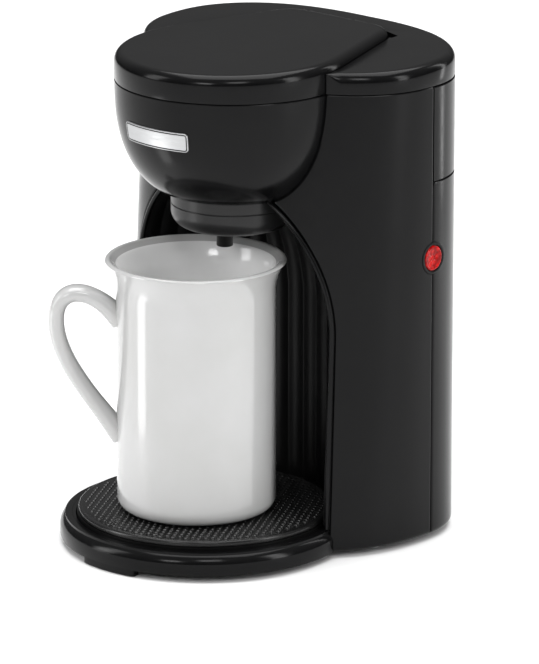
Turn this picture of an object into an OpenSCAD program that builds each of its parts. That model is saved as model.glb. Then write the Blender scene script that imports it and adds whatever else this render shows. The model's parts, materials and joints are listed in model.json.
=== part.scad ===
// Single-cup drip coffee maker: an oval tower with a round cup bay, a bowl-shaped brewing head
// under a hinged lid, a round drip base, a rear water tank, and a tall handled mug.
// +X is the machine's right-hand side, -Y its front. The origin is on the table, under the
// middle of the body.

/* [Body] */
// Width of the tower
body_w = 153.2; // [148:0.2:190]
// Depth from the front of the base to the back of the tower
body_d = 174.2; // [168:0.2:215]
// Height from the underside of the tower to the seam below the lid
seam_h = 202.7; // [180:0.1:250]
// Depth of the rear half of the tower's oval
tower_back = 49.5; // [44:0.5:58]
// How far the tower's front stands before the cup axis at the floor
tower_front_low = 7.3; // [4:0.1:10]
// How far the tower's front stands behind the cup axis at the lid seam
tower_front_top = 11.2; // [8:0.1:14]
// Squareness of the oval (2 is an ellipse)
oval_power = 2.31; // [2.1:0.01:2.6]
// Wall of the moulded shells
wall = 2.4; // [1.8:0.1:3]
// Width of the parting lines between shells
seam_gap = 0.35; // [0.2:0.05:0.6]
// Distance of the vertical parting line behind the oval's middle
parting_back = 2.8; // [0:0.1:5]
// Height of the water tank panel below the lid seam
tank_panel_h = 42.7; // [36:0.1:50]
// Height of the feet
foot_h = 2.8; // [2:0.1:5]

/* [Lid and cap] */
// Height of the lid's front edge above the seam
lid_h = 12.3; // [11:0.1:16]
// Rise of the lid towards the back, per millimetre
lid_slope = 0.021; // [0:0.001:0.03]
// Height of the cap's front edge above the seam
cap_h = 9.4; // [8:0.1:11]
// Rise of the cap towards the back, per millimetre
cap_slope = 0.03; // [0:0.001:0.04]
// Radius of the rounded top edges of lid and cap
edge_r = 4.4; // [3:0.1:5]
// Length of the lid behind the head's axis
lid_tail = 72.9; // [66:0.1:80]
// Radius of the lid's rear corners
lid_corner_r = 15; // [10:0.5:18]
// Half the distance between the centres of the rear corners
lid_corner_x = 19; // [12:0.5:24]
// Gap around the lid
lid_gap = 0.45; // [0.3:0.05:0.8]
// Radius of the lid's tail about its hinge
tail_r = 4.6; // [4:0.1:5]
// Radius of the hinge pin
pin_r = 1.25; // [1:0.05:1.5]
// Radial running clearance of the hinge pin in the lid
pin_clearance = 0.05; // [0.02:0.01:0.09]

/* [Brewing head] */
// Radius of the head at the lid seam
head_r = 51.5; // [48:0.5:62]
// Distance of the head's axis behind the cup axis
head_back = 18.3; // [15:0.1:22]
// Height of the bowl
bowl_h = 50.2; // [44:0.1:56]
// Radius of the brew basket
basket_r = 27.2; // [24:0.1:30]
// Radius of the permanent filter's flange
filter_r = 25; // [22:0.1:25]
// Height of the permanent filter
filter_h = 46; // [40:0.5:46]
// Radius of the drip nozzle
nozzle_r = 3.65; // [3:0.05:5]
// Bore radius of the drip nozzle
nozzle_bore_r = 2.2; // [1.5:0.05:2.8]

/* [Cup bay and base] */
// Radius of the base
base_r = 64; // [58:0.5:66]
// Height of the base's top rim
base_h = 9.8; // [8:0.1:12]
// Distance from the base's edge to the bay's wall
bay_margin = 4; // [3:0.5:8]
// Thickness of the bay liner
liner_t = 2; // [1.5:0.1:2.5]
// Height of the bay's arched top
arch_h = 67; // [55:1:75]
// Depth of the bay's arch below the lid seam
arch_drop = 40.7; // [36:0.1:48]
// Radius of the drip grille
grille_r = 56; // [48:0.5:57]
// Height of the grille's top above the base's rim
grille_rise = 3.5; // [2.5:0.1:6]

/* [Mug] */
// Radius of the mug's body
mug_r = 35; // [30:0.5:38]
// Wall of the mug
mug_wall = 3.4; // [2.5:0.1:5]
// How far the lip flares past the body
lip_flare = 4.8; // [2:0.1:5]
// Distance of the mug's axis in front of the cup axis
mug_forward = 5.6; // [2:0.1:8]
// Free height between the mug's lip and the nozzle
mug_gap = 1.5; // [1:0.1:6]
// Direction of the handle, seen from above
handle_angle = 222; // [200:1:250]

/* [Power button] */
// Radius of the power button
button_r = 5.5; // [4:0.1:7]
// Height of the button's middle above the underside of the tower
button_h = 126.2; // [110:0.1:130]
// Travel of the button
button_travel = 1.5; // [1:0.1:2]
// Gap between the button and its bezel
button_gap = 0.3; // [0.2:0.05:0.5]

/* [Cord inlet] */
// Bore radius of the cord bushing
cord_r = 3.6; // [3:0.1:4.5]
// Distance of the bushing from the middle
cord_x = 30; // [20:1:40]

/* [Hidden] */
$fn = 96;
ring_n = 72;
eps = 0.01;
far = 400;

cup_y = base_r - body_d / 2;
head_y = cup_y + head_back;
tower_y = body_d / 2 - tower_back;
part_y = tower_y + parting_back;
side_x = body_w / 2;
floor_z = foot_h;
seam_z = floor_z + seam_h;
tank_z = seam_z - tank_panel_h;
bay_r = base_r - bay_margin;
liner_r = bay_r + liner_t;
arch_z = seam_z - arch_drop - arch_h;
rim_z = floor_z + base_h;
grille_z = rim_z + grille_rise;
grille_t = 2.5;
bump_h = 0.3;

deck_t = 2;
deck_z = seam_z + seam_gap + deck_t;
notch_y = head_y + 5.7;
hinge_y = head_y + lid_tail - tail_r;
hinge_z = seam_z + 10.3;
skirt_z = seam_z + 7;
ear_x = 18;
ear_w = 4;
lid_t = 0.75 * wall;
ear_r = tail_r - lid_t - 0.6;
ear_reach = 8;
relief_r = tail_r + 0.4;
relief_x = 25;
relief_end = 33;

bowl_z = seam_z - bowl_h;
bowl_gap = 0.2;
basket_top = seam_z - 2.7;
basket_drop = 4;
basket_floor = bowl_z - basket_drop;
basket_t = 2;
filter_top = seam_z - 5.7;
collar_h = 4;
cone_low = basket_floor - 11.8;
cone_round = 7.3;
nozzle_low = cone_low - 8.7;
nozzle_y = head_y - 5.3;

mug_y = cup_y - mug_forward;
mug_z = grille_z + bump_h;
mug_h = nozzle_low - mug_gap - mug_z;

button_z = floor_z + button_h;
button_y = part_y;
bezel_r = button_r + button_gap + 1.5;
button_face = side_x + 0.5;
button_len = 4.6;

heater_y = tower_y + 22;
heater_z = floor_z + 39;
heater_l = 84;
tube_r = 4;
tube_reach = heater_l / 2 + 8;
element_r = 3.3;
hose_t = 1.5;
bend_r = 8;
leg_x = tube_reach + bend_r;
hose_grip = 5;
hose_r = tube_r + hose_t;
socket_r = tube_r - 0.05;
socket_bore = tube_r - 1.2;
riser_clear = 1;
riser_y = max(cup_y + 42,
    head_y + sqrt(max(0, pow(head_r + hose_r + riser_clear, 2) - pow(leg_x, 2))));
valve_z = floor_z + 75;
valve_h = 14;
sump_z = floor_z + 112;
sump_right = 50;
sump_left = leg_x + 8;
sump_y = head_y + 49;

plate_t = 2;
plate_z = floor_z + 0.6;
boss_r = 4.2;
screw_r = 1.5;
boss_h = 18;

// ---- outlines ----

function signed_power(v, p) = sign(v) * pow(abs(v), p);

// Front end of the oval at height z: it leans back as it rises.
function tower_front(z) =
    cup_y - tower_front_low + (tower_front_low + tower_front_top) * (z - floor_z) / seam_h;

// Points of the tower's oval at height z, drawn in by inset.
function oval(inset, z) = [for (i = [0 : ring_n - 1])
    let (a = 360 * i / ring_n,
         depth = sin(a) < 0 ? tower_y - tower_front(z) : tower_back)
    [(side_x - inset) * signed_power(cos(a), 2 / oval_power),
     tower_y + (depth - inset) * signed_power(sin(a), 2 / oval_power)]];

// Rear edge of the oval at a distance x from the middle, drawn in by inset.
function rear_y(x, inset) = tower_y + (tower_back - inset)
    * pow(1 - pow(abs(x) / (side_x - inset), oval_power), 1 / oval_power);

// Points of the lid's outline: the head's circle, run out to two smaller rear corners.
lid_corner_y = lid_tail - lid_corner_r;
lid_tangent = atan2(lid_corner_y, lid_corner_x)
    - acos((head_r - lid_corner_r) / norm([lid_corner_x, lid_corner_y]));
function arc(centre, r, from, to, n) = [for (i = [0 : n])
    let (a = from + (to - from) * i / n) centre + r * [cos(a), sin(a)]];
function lid_outline(inset) = concat(
    arc([0, head_y], head_r - inset, -180 - lid_tangent, lid_tangent, 40),
    arc([lid_corner_x, head_y + lid_corner_y], lid_corner_r - inset, lid_tangent, 90, 8),
    arc([-lid_corner_x, head_y + lid_corner_y], lid_corner_r - inset,
        90, 180 - lid_tangent, 8));

function lid_top(y) = seam_z + lid_h + lid_slope * (y - head_y + head_r);
function cap_top(y) = seam_z + cap_h + cap_slope * (y - notch_y);

// Radius of the bowl at a depth below the seam.
function bowl_radius(depth) = basket_r + bowl_gap
    + (head_r - basket_r - bowl_gap) * pow(1 - pow(depth / bowl_h, 2.6), 0.62);

// ---- solids shared by several parts ----

// A closed skin over rings of points that run round the same way.
module loft(rings) {
    n = len(rings[0]);
    top = (len(rings) - 1) * n;
    polyhedron(
        points = [for (r = rings) each r],
        faces = concat(
            [[for (i = [0 : n - 1]) i]],
            [for (k = [0 : len(rings) - 2], i = [0 : n - 1])
                let (a = k * n + i, b = k * n + (i + 1) % n) each [[a, a + n, b + n], [a, b + n, b]]],
            [[for (i = [n - 1 : -1 : 0]) top + i]]));
}

function at_height(points, z) = [for (p = points) [p[0], p[1], z]];

// A loft of the tower's oval from z0 to z1.
module tower(inset, z0, z1) {
    loft([at_height(oval(inset, z0), z0), at_height(oval(inset, z1), z1)]);
}

// The tower's outer skin, with its lower edge rounded in.
module tower_skin() {
    edge = [[1.4, 0], [0.4, 0.9]];
    loft(concat(
        [for (e = edge) at_height(oval(e[0], floor_z + e[1]), floor_z + e[1])],
        [at_height(oval(0, floor_z + wall), floor_z + wall),
         at_height(oval(0, seam_z), seam_z)]));
}

module tower_shell() {
    difference() {
        tower_skin();
        tower(wall, floor_z - 1, seam_z + 1);
    }
}

// A prism with a rounded top edge under a sloping top.
module rounded_lid(outline, top, z0, r, inset) {
    loft(concat(
        [at_height(outline(inset), z0)],
        [for (t = [0 : 22.5 : 90])
            [for (p = outline(inset + r * (1 - cos(t))))
                [p[0], p[1], top(p[1]) - r * (1 - sin(t))]]]));
}

module lid_prism(inset, z0, z1) {
    loft([at_height(lid_outline(inset), z0), at_height(lid_outline(inset), z1)]);
}

// Everything behind y, from z0 to z1.
module behind(y, z0, z1) {
    translate([-far / 2, y, z0]) cube([far, far, z1 - z0]);
}

module in_front(y, z0, z1) {
    translate([-far / 2, y - far, z0]) cube([far, far, z1 - z0]);
}

module at_cup() translate([0, cup_y, 0]) children();
module at_head() translate([0, head_y, 0]) children();
module both_sides() {
    children();
    mirror([1, 0, 0]) children();
}

module tube(r_out, r_in, z0, z1) {
    translate([0, 0, z0]) difference() {
        cylinder(r = r_out, h = z1 - z0);
        translate([0, 0, -1]) cylinder(r = r_in, h = z1 - z0 + 2);
    }
}

// The round, arched space of the bay, grown by a distance.
module bay_space(grow, z0) {
    r = bay_r + grow;
    at_cup() rotate_extrude() polygon(concat(
        [[0, z0], [r, z0]],
        [for (t = [0 : 6 : 90]) [r * cos(t), arch_z + (arch_h + grow) * sin(t)]]));
}

// The bowl's solid form, grown by a distance.
module bowl_form(grow, z0 = 0) {
    at_head() rotate_extrude() polygon(concat(
        [[0, bowl_z - z0], [bowl_radius(bowl_h) + grow, bowl_z - z0]],
        [for (k = [16 : -1 : 0]) let (d = bowl_h * sin(90 * k / 16))
            [bowl_radius(d) + grow, seam_z - d]],
        [[0, seam_z]]));
}

// A bar along X through the button's middle.
module button_bar(r, x0, x1) {
    translate([x0, button_y, button_z]) rotate([0, 90, 0]) cylinder(r = r, h = x1 - x0);
}

module hinge_bar(r, x0, x1) {
    translate([x0, hinge_y, hinge_z]) rotate([0, 90, 0]) cylinder(r = r, h = x1 - x0);
}

// ---- places of the bottom screws ----

front_boss = [side_x - 9, cup_y + 36];
rear_boss_x = side_x - 18.6;
rear_boss = [rear_boss_x, rear_y(rear_boss_x, wall + 2.5)];

module boss(place) {
    translate([place[0], place[1], plate_z + plate_t]) difference() {
        cylinder(r = boss_r, h = boss_h);
        translate([0, 0, -1]) cylinder(r = screw_r, h = boss_h - 3);
    }
}

// ---- shells ----

module front_housing() {
    color([0.09, 0.09, 0.1]) {
        difference() {
            intersection() {
                tower_shell();
                in_front(part_y - seam_gap / 2, floor_z - 1, seam_z + 1);
            }
            bay_space(liner_t + bowl_gap, floor_z - 1);
            bowl_form(bowl_gap);
            at_head() translate([0, 0, seam_z - 1]) cylinder(r = head_r + bowl_gap, h = 2);
            button_bar(bezel_r, side_x - 20, side_x + 5);
        }
        both_sides() intersection() {
            boss(front_boss);
            tower(wall / 2, floor_z, seam_z);
        }
        liner_collar();
    }
}

// A low band round the back of the liner, which ties the two sides of the housing.
module liner_collar() {
    low = plate_z + plate_t;
    inner = liner_r + bowl_gap;
    intersection() {
        at_cup() tube(inner + 1.6, inner, low, low + 14);
        tower(wall / 2, floor_z, seam_z);
    }
}

module rear_cover() {
    color([0.1, 0.1, 0.11]) {
        difference() {
            intersection() {
                tower_shell();
                behind(part_y + seam_gap / 2, floor_z - 1, tank_z - seam_gap / 2);
            }
            button_bar(bezel_r, side_x - 20, side_x + 5);
            bushing_bar(cord_r + 2, 20);
        }
        both_sides() intersection() {
            boss(rear_boss);
            tower(wall / 2, floor_z, seam_z);
        }
    }
}

module water_tank() {
    low = tank_z + seam_gap / 2;
    high = seam_z - seam_gap;
    front = part_y + seam_gap / 2;
    back_r = head_r + 1;
    color([0.11, 0.11, 0.12]) difference() {
        union() {
            difference() {
                intersection() {
                    tower(0, low, high);
                    behind(front, low, high);
                }
                at_head() translate([0, 0, low - 1]) cylinder(r = back_r, h = far);
            }
            sump(1 + wall, 0, sump_z, low + wall);
        }
        difference() {
            intersection() {
                tower(wall, low + wall, high + 1);
                behind(front + wall, low + wall, high + 1);
            }
            at_head() translate([0, 0, low]) cylinder(r = back_r + wall, h = far);
        }
        sump(1 + 2 * wall, wall, sump_z + wall, low + wall + 1);
        translate([-leg_x, heater_y, sump_z - 1]) cylinder(r = tube_r, h = wall + 2);
    }
}

// The tank's deep lower part, inside the rear cover.
module sump(inset, trim, z0, z1) {
    intersection() {
        tower(inset, z0, z1);
        translate([trim - sump_left, sump_y + trim, z0])
            cube([sump_left + sump_right - 2 * trim, far, z1 - z0]);
    }
}

module tank_outlet() {
    color([0.85, 0.85, 0.85]) translate([-leg_x, heater_y, 0]) {
        tube(tube_r, tube_r - 1, sump_z - 10, sump_z + wall);
        tube(tube_r + 3, tube_r, sump_z - 1.5, sump_z);
    }
}

module top_cap() {
    hole_w = 2 * ear_x - 1;
    hole_y = head_r + head_y + 3.7;
    hole_d = hinge_y - ear_r - 1 - hole_y;
    color([0.1, 0.1, 0.11]) {
        difference() {
            rounded_lid(function (inset) oval(inset, seam_z), function (y) cap_top(y),
                seam_z + seam_gap, edge_r, 0);
            rounded_lid(function (inset) oval(inset, seam_z), function (y) cap_top(y) - wall,
                deck_z, edge_r - 1, wall);
            lid_prism(-lid_gap, deck_z, seam_z + far);
            intersection() {
                lid_prism(-lid_gap, seam_z, seam_z + far);
                in_front(notch_y + lid_gap, seam_z - 1, seam_z + far);
            }
            at_head() translate([0, 0, seam_z - 1]) cylinder(r = head_r - 2, h = far);
            translate([-hole_w / 2, hole_y, seam_z - 1]) cube([hole_w, hole_d, far]);
            translate([leg_x, riser_y, seam_z - 1]) cylinder(r = hose_r + 0.2, h = 5);
            hinge_bar(relief_r, -relief_x, relief_x);
            both_sides() translate([relief_x - eps, hinge_y, hinge_z]) rotate([0, 90, 0])
                cylinder(r1 = relief_r, r2 = tail_r / 2, h = relief_end - relief_x);
        }
        both_sides() difference() {
            union() {
                hinge_bar(ear_r, ear_x, ear_x + ear_w);
                translate([ear_x, hinge_y - ear_reach, hinge_z - ear_r / 2])
                    cube([ear_w, ear_reach, ear_r / 2 + ear_r - 0.3]);
                translate([ear_x, hinge_y - ear_reach, deck_z - eps])
                    cube([ear_w, ear_reach - tail_r - 0.4, hinge_z - deck_z]);
            }
            hinge_bar(pin_r, ear_x - 1, ear_x + ear_w + 1);
        }
    }
}

module lid() {
    barrel = ear_x - lid_gap;
    color([0.1, 0.1, 0.11]) difference() {
        union() {
            difference() {
                rounded_lid(function (inset) lid_outline(inset), function (y) lid_top(y),
                    seam_z + seam_gap, edge_r, 0);
                rounded_lid(function (inset) lid_outline(inset),
                    function (y) lid_top(y) - lid_t,
                    seam_z - 1, edge_r - 1.4, lid_t);
                behind(notch_y, seam_z - 1, skirt_z);
                difference() {
                    behind(hinge_y, seam_z - 1, seam_z + 40);
                    hinge_bar(tail_r, -far / 2, far / 2);
                }
            }
            intersection() {
                union() {
                    hinge_bar(tail_r - 1.2, -barrel, barrel);
                    translate([-barrel, hinge_y - 2, hinge_z]) cube([2 * barrel, 4, 4]);
                }
                rounded_lid(function (inset) lid_outline(inset), function (y) lid_top(y) - 0.5,
                    seam_z - 1, edge_r, 0.5);
            }
        }
        hinge_bar(pin_r + pin_clearance, -far / 2, far / 2);
    }
}

module lid_hinge_pin() {
    color([0.75, 0.76, 0.78]) hinge_bar(pin_r, -ear_x - ear_w, ear_x + ear_w);
}

module bay_liner() {
    low = rim_z + 0.2;
    color([0.07, 0.07, 0.08]) difference() {
        intersection() {
            difference() {
                bay_space(liner_t, low);
                bay_space(0, low - 1);
            }
            tower(0, floor_z, seam_z);
        }
        bowl_form(bowl_gap, 20);
    }
}

// ---- brewing head ----

module head_bowl() {
    steps = [for (k = [0 : 14]) bowl_h * sin(90 * k / 14)];
    floor_depth = bowl_h - wall;
    inner = [for (d = steps) if (d < floor_depth) [bowl_radius(d) - wall, seam_z - d]];
    color([0.1, 0.1, 0.11]) at_head() rotate_extrude() polygon(concat(
        inner,
        [[bowl_radius(floor_depth) - wall, bowl_z + wall], [basket_r + bowl_gap, bowl_z + wall],
         [basket_r + bowl_gap, bowl_z]],
        [for (k = [14 : -1 : 0]) [bowl_radius(steps[k]) + 0.01, seam_z - steps[k]]]));
}

module brew_basket() {
    inner_r = basket_r - basket_t;
    ledge_z = filter_top - collar_h;
    flange_r = head_r - wall - 0.7;
    color([0.5, 0.5, 0.51]) at_head() {
        rotate_extrude() polygon([
            [5, basket_floor], [basket_r, basket_floor], [basket_r, basket_top - basket_t],
            [flange_r, basket_top - basket_t], [flange_r, basket_top + 1],
            [flange_r - basket_t, basket_top + 1], [flange_r - basket_t, basket_top],
            [inner_r, basket_top], [inner_r, ledge_z],
            [filter_r - 1.6, ledge_z], [filter_r - 1.6, ledge_z - basket_t],
            [inner_r, ledge_z - basket_t], [inner_r, basket_floor + basket_t - 0.2],
            [5, basket_floor + basket_t - 0.2]]);
    }
}

filter_low = filter_top - filter_h;
filter_mid = filter_top - 2 * collar_h;
mesh_top_r = filter_r - 3.4;
mesh_low_r = 8;
mesh_t = 0.4;
rib_w = 4;
foot_t = 0.6;

module filter_frame() {
    color([0.12, 0.12, 0.13]) at_head() {
        tube(filter_r, mesh_top_r, filter_top - collar_h, filter_top);
        tube(filter_r - 1.8, mesh_top_r, filter_mid, filter_top - collar_h);
        for (a = [0 : 90 : 270]) rotate([90, 0, a])
            linear_extrude(height = rib_w, center = true) polygon([
                [mesh_top_r + mesh_t, filter_mid + 1], [mesh_top_r + mesh_t, filter_mid],
                [mesh_low_r + mesh_t, filter_low], [mesh_low_r - 2, filter_low],
                [mesh_low_r - 2, filter_low - foot_t], [mesh_low_r + mesh_t, filter_low - foot_t],
                [mesh_top_r + mesh_t + 1, filter_mid], [mesh_top_r + mesh_t + 1, filter_mid + 1]]);
        translate([0, 0, filter_low - foot_t]) cylinder(r = mesh_low_r, h = foot_t);
    }
}

module filter_mesh() {
    color([0.6, 0.6, 0.6]) at_head() rotate_extrude() polygon([
        [0, filter_low], [mesh_low_r + mesh_t, filter_low], [mesh_top_r + mesh_t, filter_mid],
        [mesh_top_r, filter_mid], [mesh_low_r, filter_low + mesh_t], [0, filter_low + mesh_t]]);
}

module drip_cone() {
    low_r = basket_r - cone_round;
    t = 1.8;
    mid_z = cone_low + cone_round;
    color([0.55, 0.55, 0.56]) difference() {
        at_head() rotate_extrude() polygon(concat(
            [[0, cone_low]],
            [for (a = [-90 : 10 : 0]) [low_r + cone_round * cos(a), mid_z + cone_round * sin(a)]],
            [[basket_r, basket_floor], [basket_r - t, basket_floor]],
            [for (a = [0 : -10 : -90])
                [low_r + (cone_round - t) * cos(a), mid_z + (cone_round - t) * sin(a)]],
            [[0, cone_low + t]]));
        translate([0, nozzle_y, cone_low - 1]) cylinder(r = nozzle_bore_r, h = t + 2);
    }
}

module drip_nozzle() {
    color([0.5, 0.5, 0.51]) translate([0, nozzle_y, 0])
        tube(nozzle_r, nozzle_bore_r, nozzle_low, cone_low);
}

// A thin plate that follows the front of the bowl.
module badge() {
    half_angle = 21;
    badge_h = 8.6;
    badge_z = seam_z - 17.7;
    color([0.85, 0.86, 0.88]) at_head() intersection() {
        rotate([0, 0, -90 - half_angle]) rotate_extrude(angle = 2 * half_angle) polygon(concat(
            [for (k = [0 : 4]) let (z = badge_z - badge_h / 2 + badge_h * k / 4)
                [bowl_radius(seam_z - z) + 0.05, z]],
            [for (k = [4 : -1 : 0]) let (z = badge_z - badge_h / 2 + badge_h * k / 4)
                [bowl_radius(seam_z - z) + 0.85, z]]));
        rounded_window(half_angle, badge_h, badge_z);
    }
}

// A bar towards the front whose end is a rounded rectangle.
module rounded_window(half_angle, h, z) {
    corner = 1.8;
    w = 2 * head_r * sin(half_angle);
    translate([0, 0, z]) rotate([90, 0, 0]) linear_extrude(height = head_r + 5) union() {
        square([w - 2 * corner, h], center = true);
        square([w, h - 2 * corner], center = true);
        for (sx = [-1, 1], sy = [-1, 1])
            translate([sx * (w / 2 - corner), sy * (h / 2 - corner)]) circle(r = corner);
    }
}

// ---- base ----

tray_r = grille_r + 0.6;
tray_t = 1.4;
tray_z = floor_z + 5.4;
rim_step = 8;
floor_top = 3.4;

module base_ring() {
    skirt = 4.5;
    round_r = base_h - skirt;
    rim_r = tray_r + 0.3;
    color([0.1, 0.1, 0.11]) difference() {
        at_cup() translate([0, 0, floor_z]) rotate_extrude() polygon(concat(
            [[base_r - wall, 0], [base_r, 0]],
            [for (t = [0 : 15 : 90])
                [base_r - round_r + round_r * cos(t), skirt + round_r * sin(t)]],
            [[rim_r, base_h], [rim_r, tray_z - floor_z], [rim_r - rim_step, tray_z - floor_z],
             [rim_r - rim_step, floor_top], [base_r - wall, floor_top]]));
        difference() {
            tower(-0.1, floor_z - 1, seam_z);
            at_cup() translate([0, 0, floor_z + floor_top]) cylinder(r = liner_r - 0.2, h = far);
        }
    }
}

module drip_tray() {
    grille_low = grille_z - grille_t;
    color([0.09, 0.09, 0.1]) at_cup() rotate_extrude() polygon([
        [0, tray_z], [tray_r, tray_z], [tray_r, grille_low], [tray_r - tray_t, grille_low],
        [tray_r - tray_t, tray_z + tray_t], [0, tray_z + tray_t]]);
}

module drip_grille() {
    ring_r = tray_r - tray_t - 0.4;
    color([0.08, 0.08, 0.09]) at_cup() difference() {
        union() {
            rotate_extrude() polygon([
                [0, grille_z - grille_t], [grille_r, grille_z - grille_t],
                [grille_r, grille_z - 0.8], [grille_r - 0.8, grille_z], [0, grille_z]]);
            tube(ring_r, ring_r - 1.6, grille_z - grille_t - 2, grille_z - grille_t);
        }
        for (ring = [[6, 12], [12, 24]], k = [0 : ring[0] - 1]) rotate([0, 0, 360 * k / ring[0]])
            translate([ring[1], 0, grille_z - 5]) cylinder(r = 2.2, h = 10);
    }
}

module bottom_plate() {
    inset = wall + 0.3;
    color([0.12, 0.12, 0.13]) difference() {
        translate([0, 0, plate_z]) linear_extrude(height = plate_t) union() {
            polygon(oval(inset, floor_z));
            translate([0, cup_y]) circle(r = base_r - inset);
        }
        both_sides() for (place = [front_boss, rear_boss])
            translate([place[0], place[1], 0]) cylinder(r = screw_r + 0.2, h = 20);
    }
}

module bottom_screws() {
    head_h = 1.4;
    color([0.7, 0.7, 0.72]) both_sides() for (place = [front_boss, rear_boss])
        translate([place[0], place[1], plate_z - head_h]) {
            cylinder(r = 2.3, h = head_h);
            cylinder(r = screw_r - 0.02, h = head_h + plate_t + 10);
        }
}

module front_foot() {
    half_angle = 13.5;
    deep = 4.5;
    color([0.1, 0.1, 0.11]) at_cup() rotate([0, 0, -90 - half_angle])
        rotate_extrude(angle = 2 * half_angle) polygon([
            [base_r - deep, 0], [base_r - 0.4, 0], [base_r, 0.4], [base_r, floor_z],
            [base_r - wall, floor_z], [base_r - wall - 0.3, plate_z], [base_r - deep, plate_z]]);
}

module rubber_feet() {
    rear = [side_x - 28, rear_y(side_x - 28, wall + 10)];
    front = [base_r - 15.4, cup_y + 16];
    color([0.06, 0.06, 0.06]) both_sides() for (place = [front, rear])
        translate([place[0], place[1], 0]) cylinder(r = 7, h = plate_z);
}

// ---- power button ----

module button_bezel() {
    color([0.05, 0.05, 0.05]) difference() {
        button_bar(bezel_r - 0.1, side_x - 6, side_x + 0.3);
        button_bar(button_r + button_gap, side_x - 7, side_x + 1);
    }
}

module power_button() {
    dish_r = 32;
    color([0.75, 0.05, 0.05]) difference() {
        button_bar(button_r, button_face - button_len, button_face);
        translate([button_face + dish_r - 0.4, button_y, button_z]) sphere(r = dish_r);
    }
}

tab_w = 4.8;
tab_z = 5;
tab_l = 6;
switch_l = 13;
plunger_l = 1.5;
switch_face = button_face - button_len - button_travel - 0.3;
switch_back = switch_face - plunger_l - switch_l;

module power_switch() {
    color([0.15, 0.15, 0.16]) {
        translate([switch_back, button_y - 7, button_z - 9]) cube([switch_l, 14, 18]);
        button_bar(2.5, switch_face - plunger_l - eps, switch_face);
        for (side = [-1, 1])
            translate([switch_back - tab_l, button_y - tab_w / 2, button_z + side * tab_z - 0.4])
                cube([tab_l + eps, tab_w, 0.8]);
    }
}

// ---- heater and water path ----

module along_x(x0, x1, y, z, r) {
    translate([x0, y, z]) rotate([0, 90, 0]) cylinder(r = r, h = x1 - x0);
}

element_z = heater_z - 12;

module heater_block() {
    half = heater_l / 2;
    barrel_r = tube_r + 4;
    color([0.72, 0.73, 0.74]) difference() {
        union() {
            along_x(-half, half, heater_y, heater_z, barrel_r);
            along_x(-half, half, heater_y, element_z, element_r + 3);
            translate([-half, heater_y - 5, element_z]) cube([heater_l, 10, heater_z - element_z]);
            translate([-12, heater_y - 9, heater_z]) cube([24, 18, barrel_r + 1]);
        }
        along_x(-half - 1, half + 1, heater_y, heater_z, tube_r);
        along_x(-half - 1, half + 1, heater_y, element_z, element_r);
    }
}

module heater_tube() {
    color([0.78, 0.79, 0.8]) difference() {
        along_x(-tube_reach, tube_reach, heater_y, heater_z, tube_r);
        along_x(-tube_reach - 1, tube_reach + 1, heater_y, heater_z, tube_r - 1);
    }
}

module heater_element() {
    reach = heater_l / 2 + 5;
    color([0.4, 0.4, 0.42]) {
        along_x(-reach, reach, heater_y, element_z, element_r);
        along_x(-reach - 8, -reach + eps, heater_y, element_z, 1.2);
        along_x(reach - eps, reach + 8, heater_y, element_z, 1.2);
    }
}

bracket_x = 32;
bracket_w = 10;
bracket_t = 1.2;
saddle_r = element_r + 3;
screw_head_r = 2.2;
bracket_screw_y = saddle_r + bracket_t + screw_head_r + 0.3;

// Two sheet-metal saddles that stand on the bottom plate and hold the block from below.
module heater_bracket() {
    low = plate_z + plate_t;
    t = bracket_t;
    foot_y = bracket_screw_y + screw_head_r + 0.3;
    color([0.65, 0.66, 0.68]) both_sides() difference() {
        union() {
            translate([bracket_x - bracket_w / 2, heater_y - foot_y, low])
                cube([bracket_w, 2 * foot_y, t]);
            translate([bracket_x - bracket_w / 2, heater_y - saddle_r - t, low])
                cube([bracket_w, 2 * (saddle_r + t), element_z - low]);
        }
        translate([0, heater_y - saddle_r, low + t])
            cube([far, 2 * saddle_r, element_z - low - saddle_r - 2 * t]);
        along_x(0, far, heater_y, element_z, saddle_r + 0.05);
        for (side = [-1, 1]) translate([bracket_x, heater_y + side * bracket_screw_y, low - 1])
            cylinder(r = screw_r, h = 5);
    }
}

module heater_screws() {
    low = plate_z + plate_t;
    color([0.7, 0.7, 0.72]) both_sides() for (side = [-1, 1])
        translate([bracket_x, heater_y + side * bracket_screw_y, low]) {
            cylinder(r = screw_r - 0.02, h = bracket_t + 0.1);
            translate([0, 0, bracket_t]) cylinder(r = screw_head_r, h = 1.6);
        }
}

pad_z = heater_z + tube_r + 5;

module thermostat() {
    color([0.8, 0.79, 0.75]) translate([0, heater_y, pad_z]) {
        cylinder(r = 8, h = 6);
        translate([0, 0, 6 - eps]) cylinder(r = 5, h = 2.5);
        for (sx = [-1, 1]) translate([sx * 6 - 2, -0.4, 6 - eps]) cube([4, 0.8, 7]);
    }
}

module thermal_fuse() {
    z = heater_z + tube_r + 4 + 2.6;
    color([0.85, 0.8, 0.7]) {
        along_x(20, 34, heater_y, z, 2.5);
        along_x(15, 20 + eps, heater_y, z, 0.6);
        along_x(34 - eps, 39, heater_y, z, 0.6);
    }
}

// A straight upright stretch of hose.
module hose(z0, z1) tube(hose_r, tube_r, z0, z1);

// A quarter bend of hose in the XY plane, from the X axis round to the Y axis.
module elbow() {
    rotate_extrude(angle = 90) translate([bend_r, 0]) difference() {
        circle(r = hose_r);
        circle(r = tube_r);
    }
}

// The straight end of a hose, pushed over the heater tube on the left or right.
module hose_end(side) {
    x = side * (tube_reach - hose_grip / 2) - hose_grip / 2;
    difference() {
        along_x(x, x + hose_grip, heater_y, heater_z, hose_r);
        along_x(x - 1, x + hose_grip + 1, heater_y, heater_z, tube_r);
    }
}

// From the tank's outlet down to the check valve.
module valve_hose() {
    color([0.9, 0.9, 0.88]) translate([-leg_x, heater_y, 0])
        hose(valve_z + valve_h + 1, sump_z - 3);
}

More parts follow.
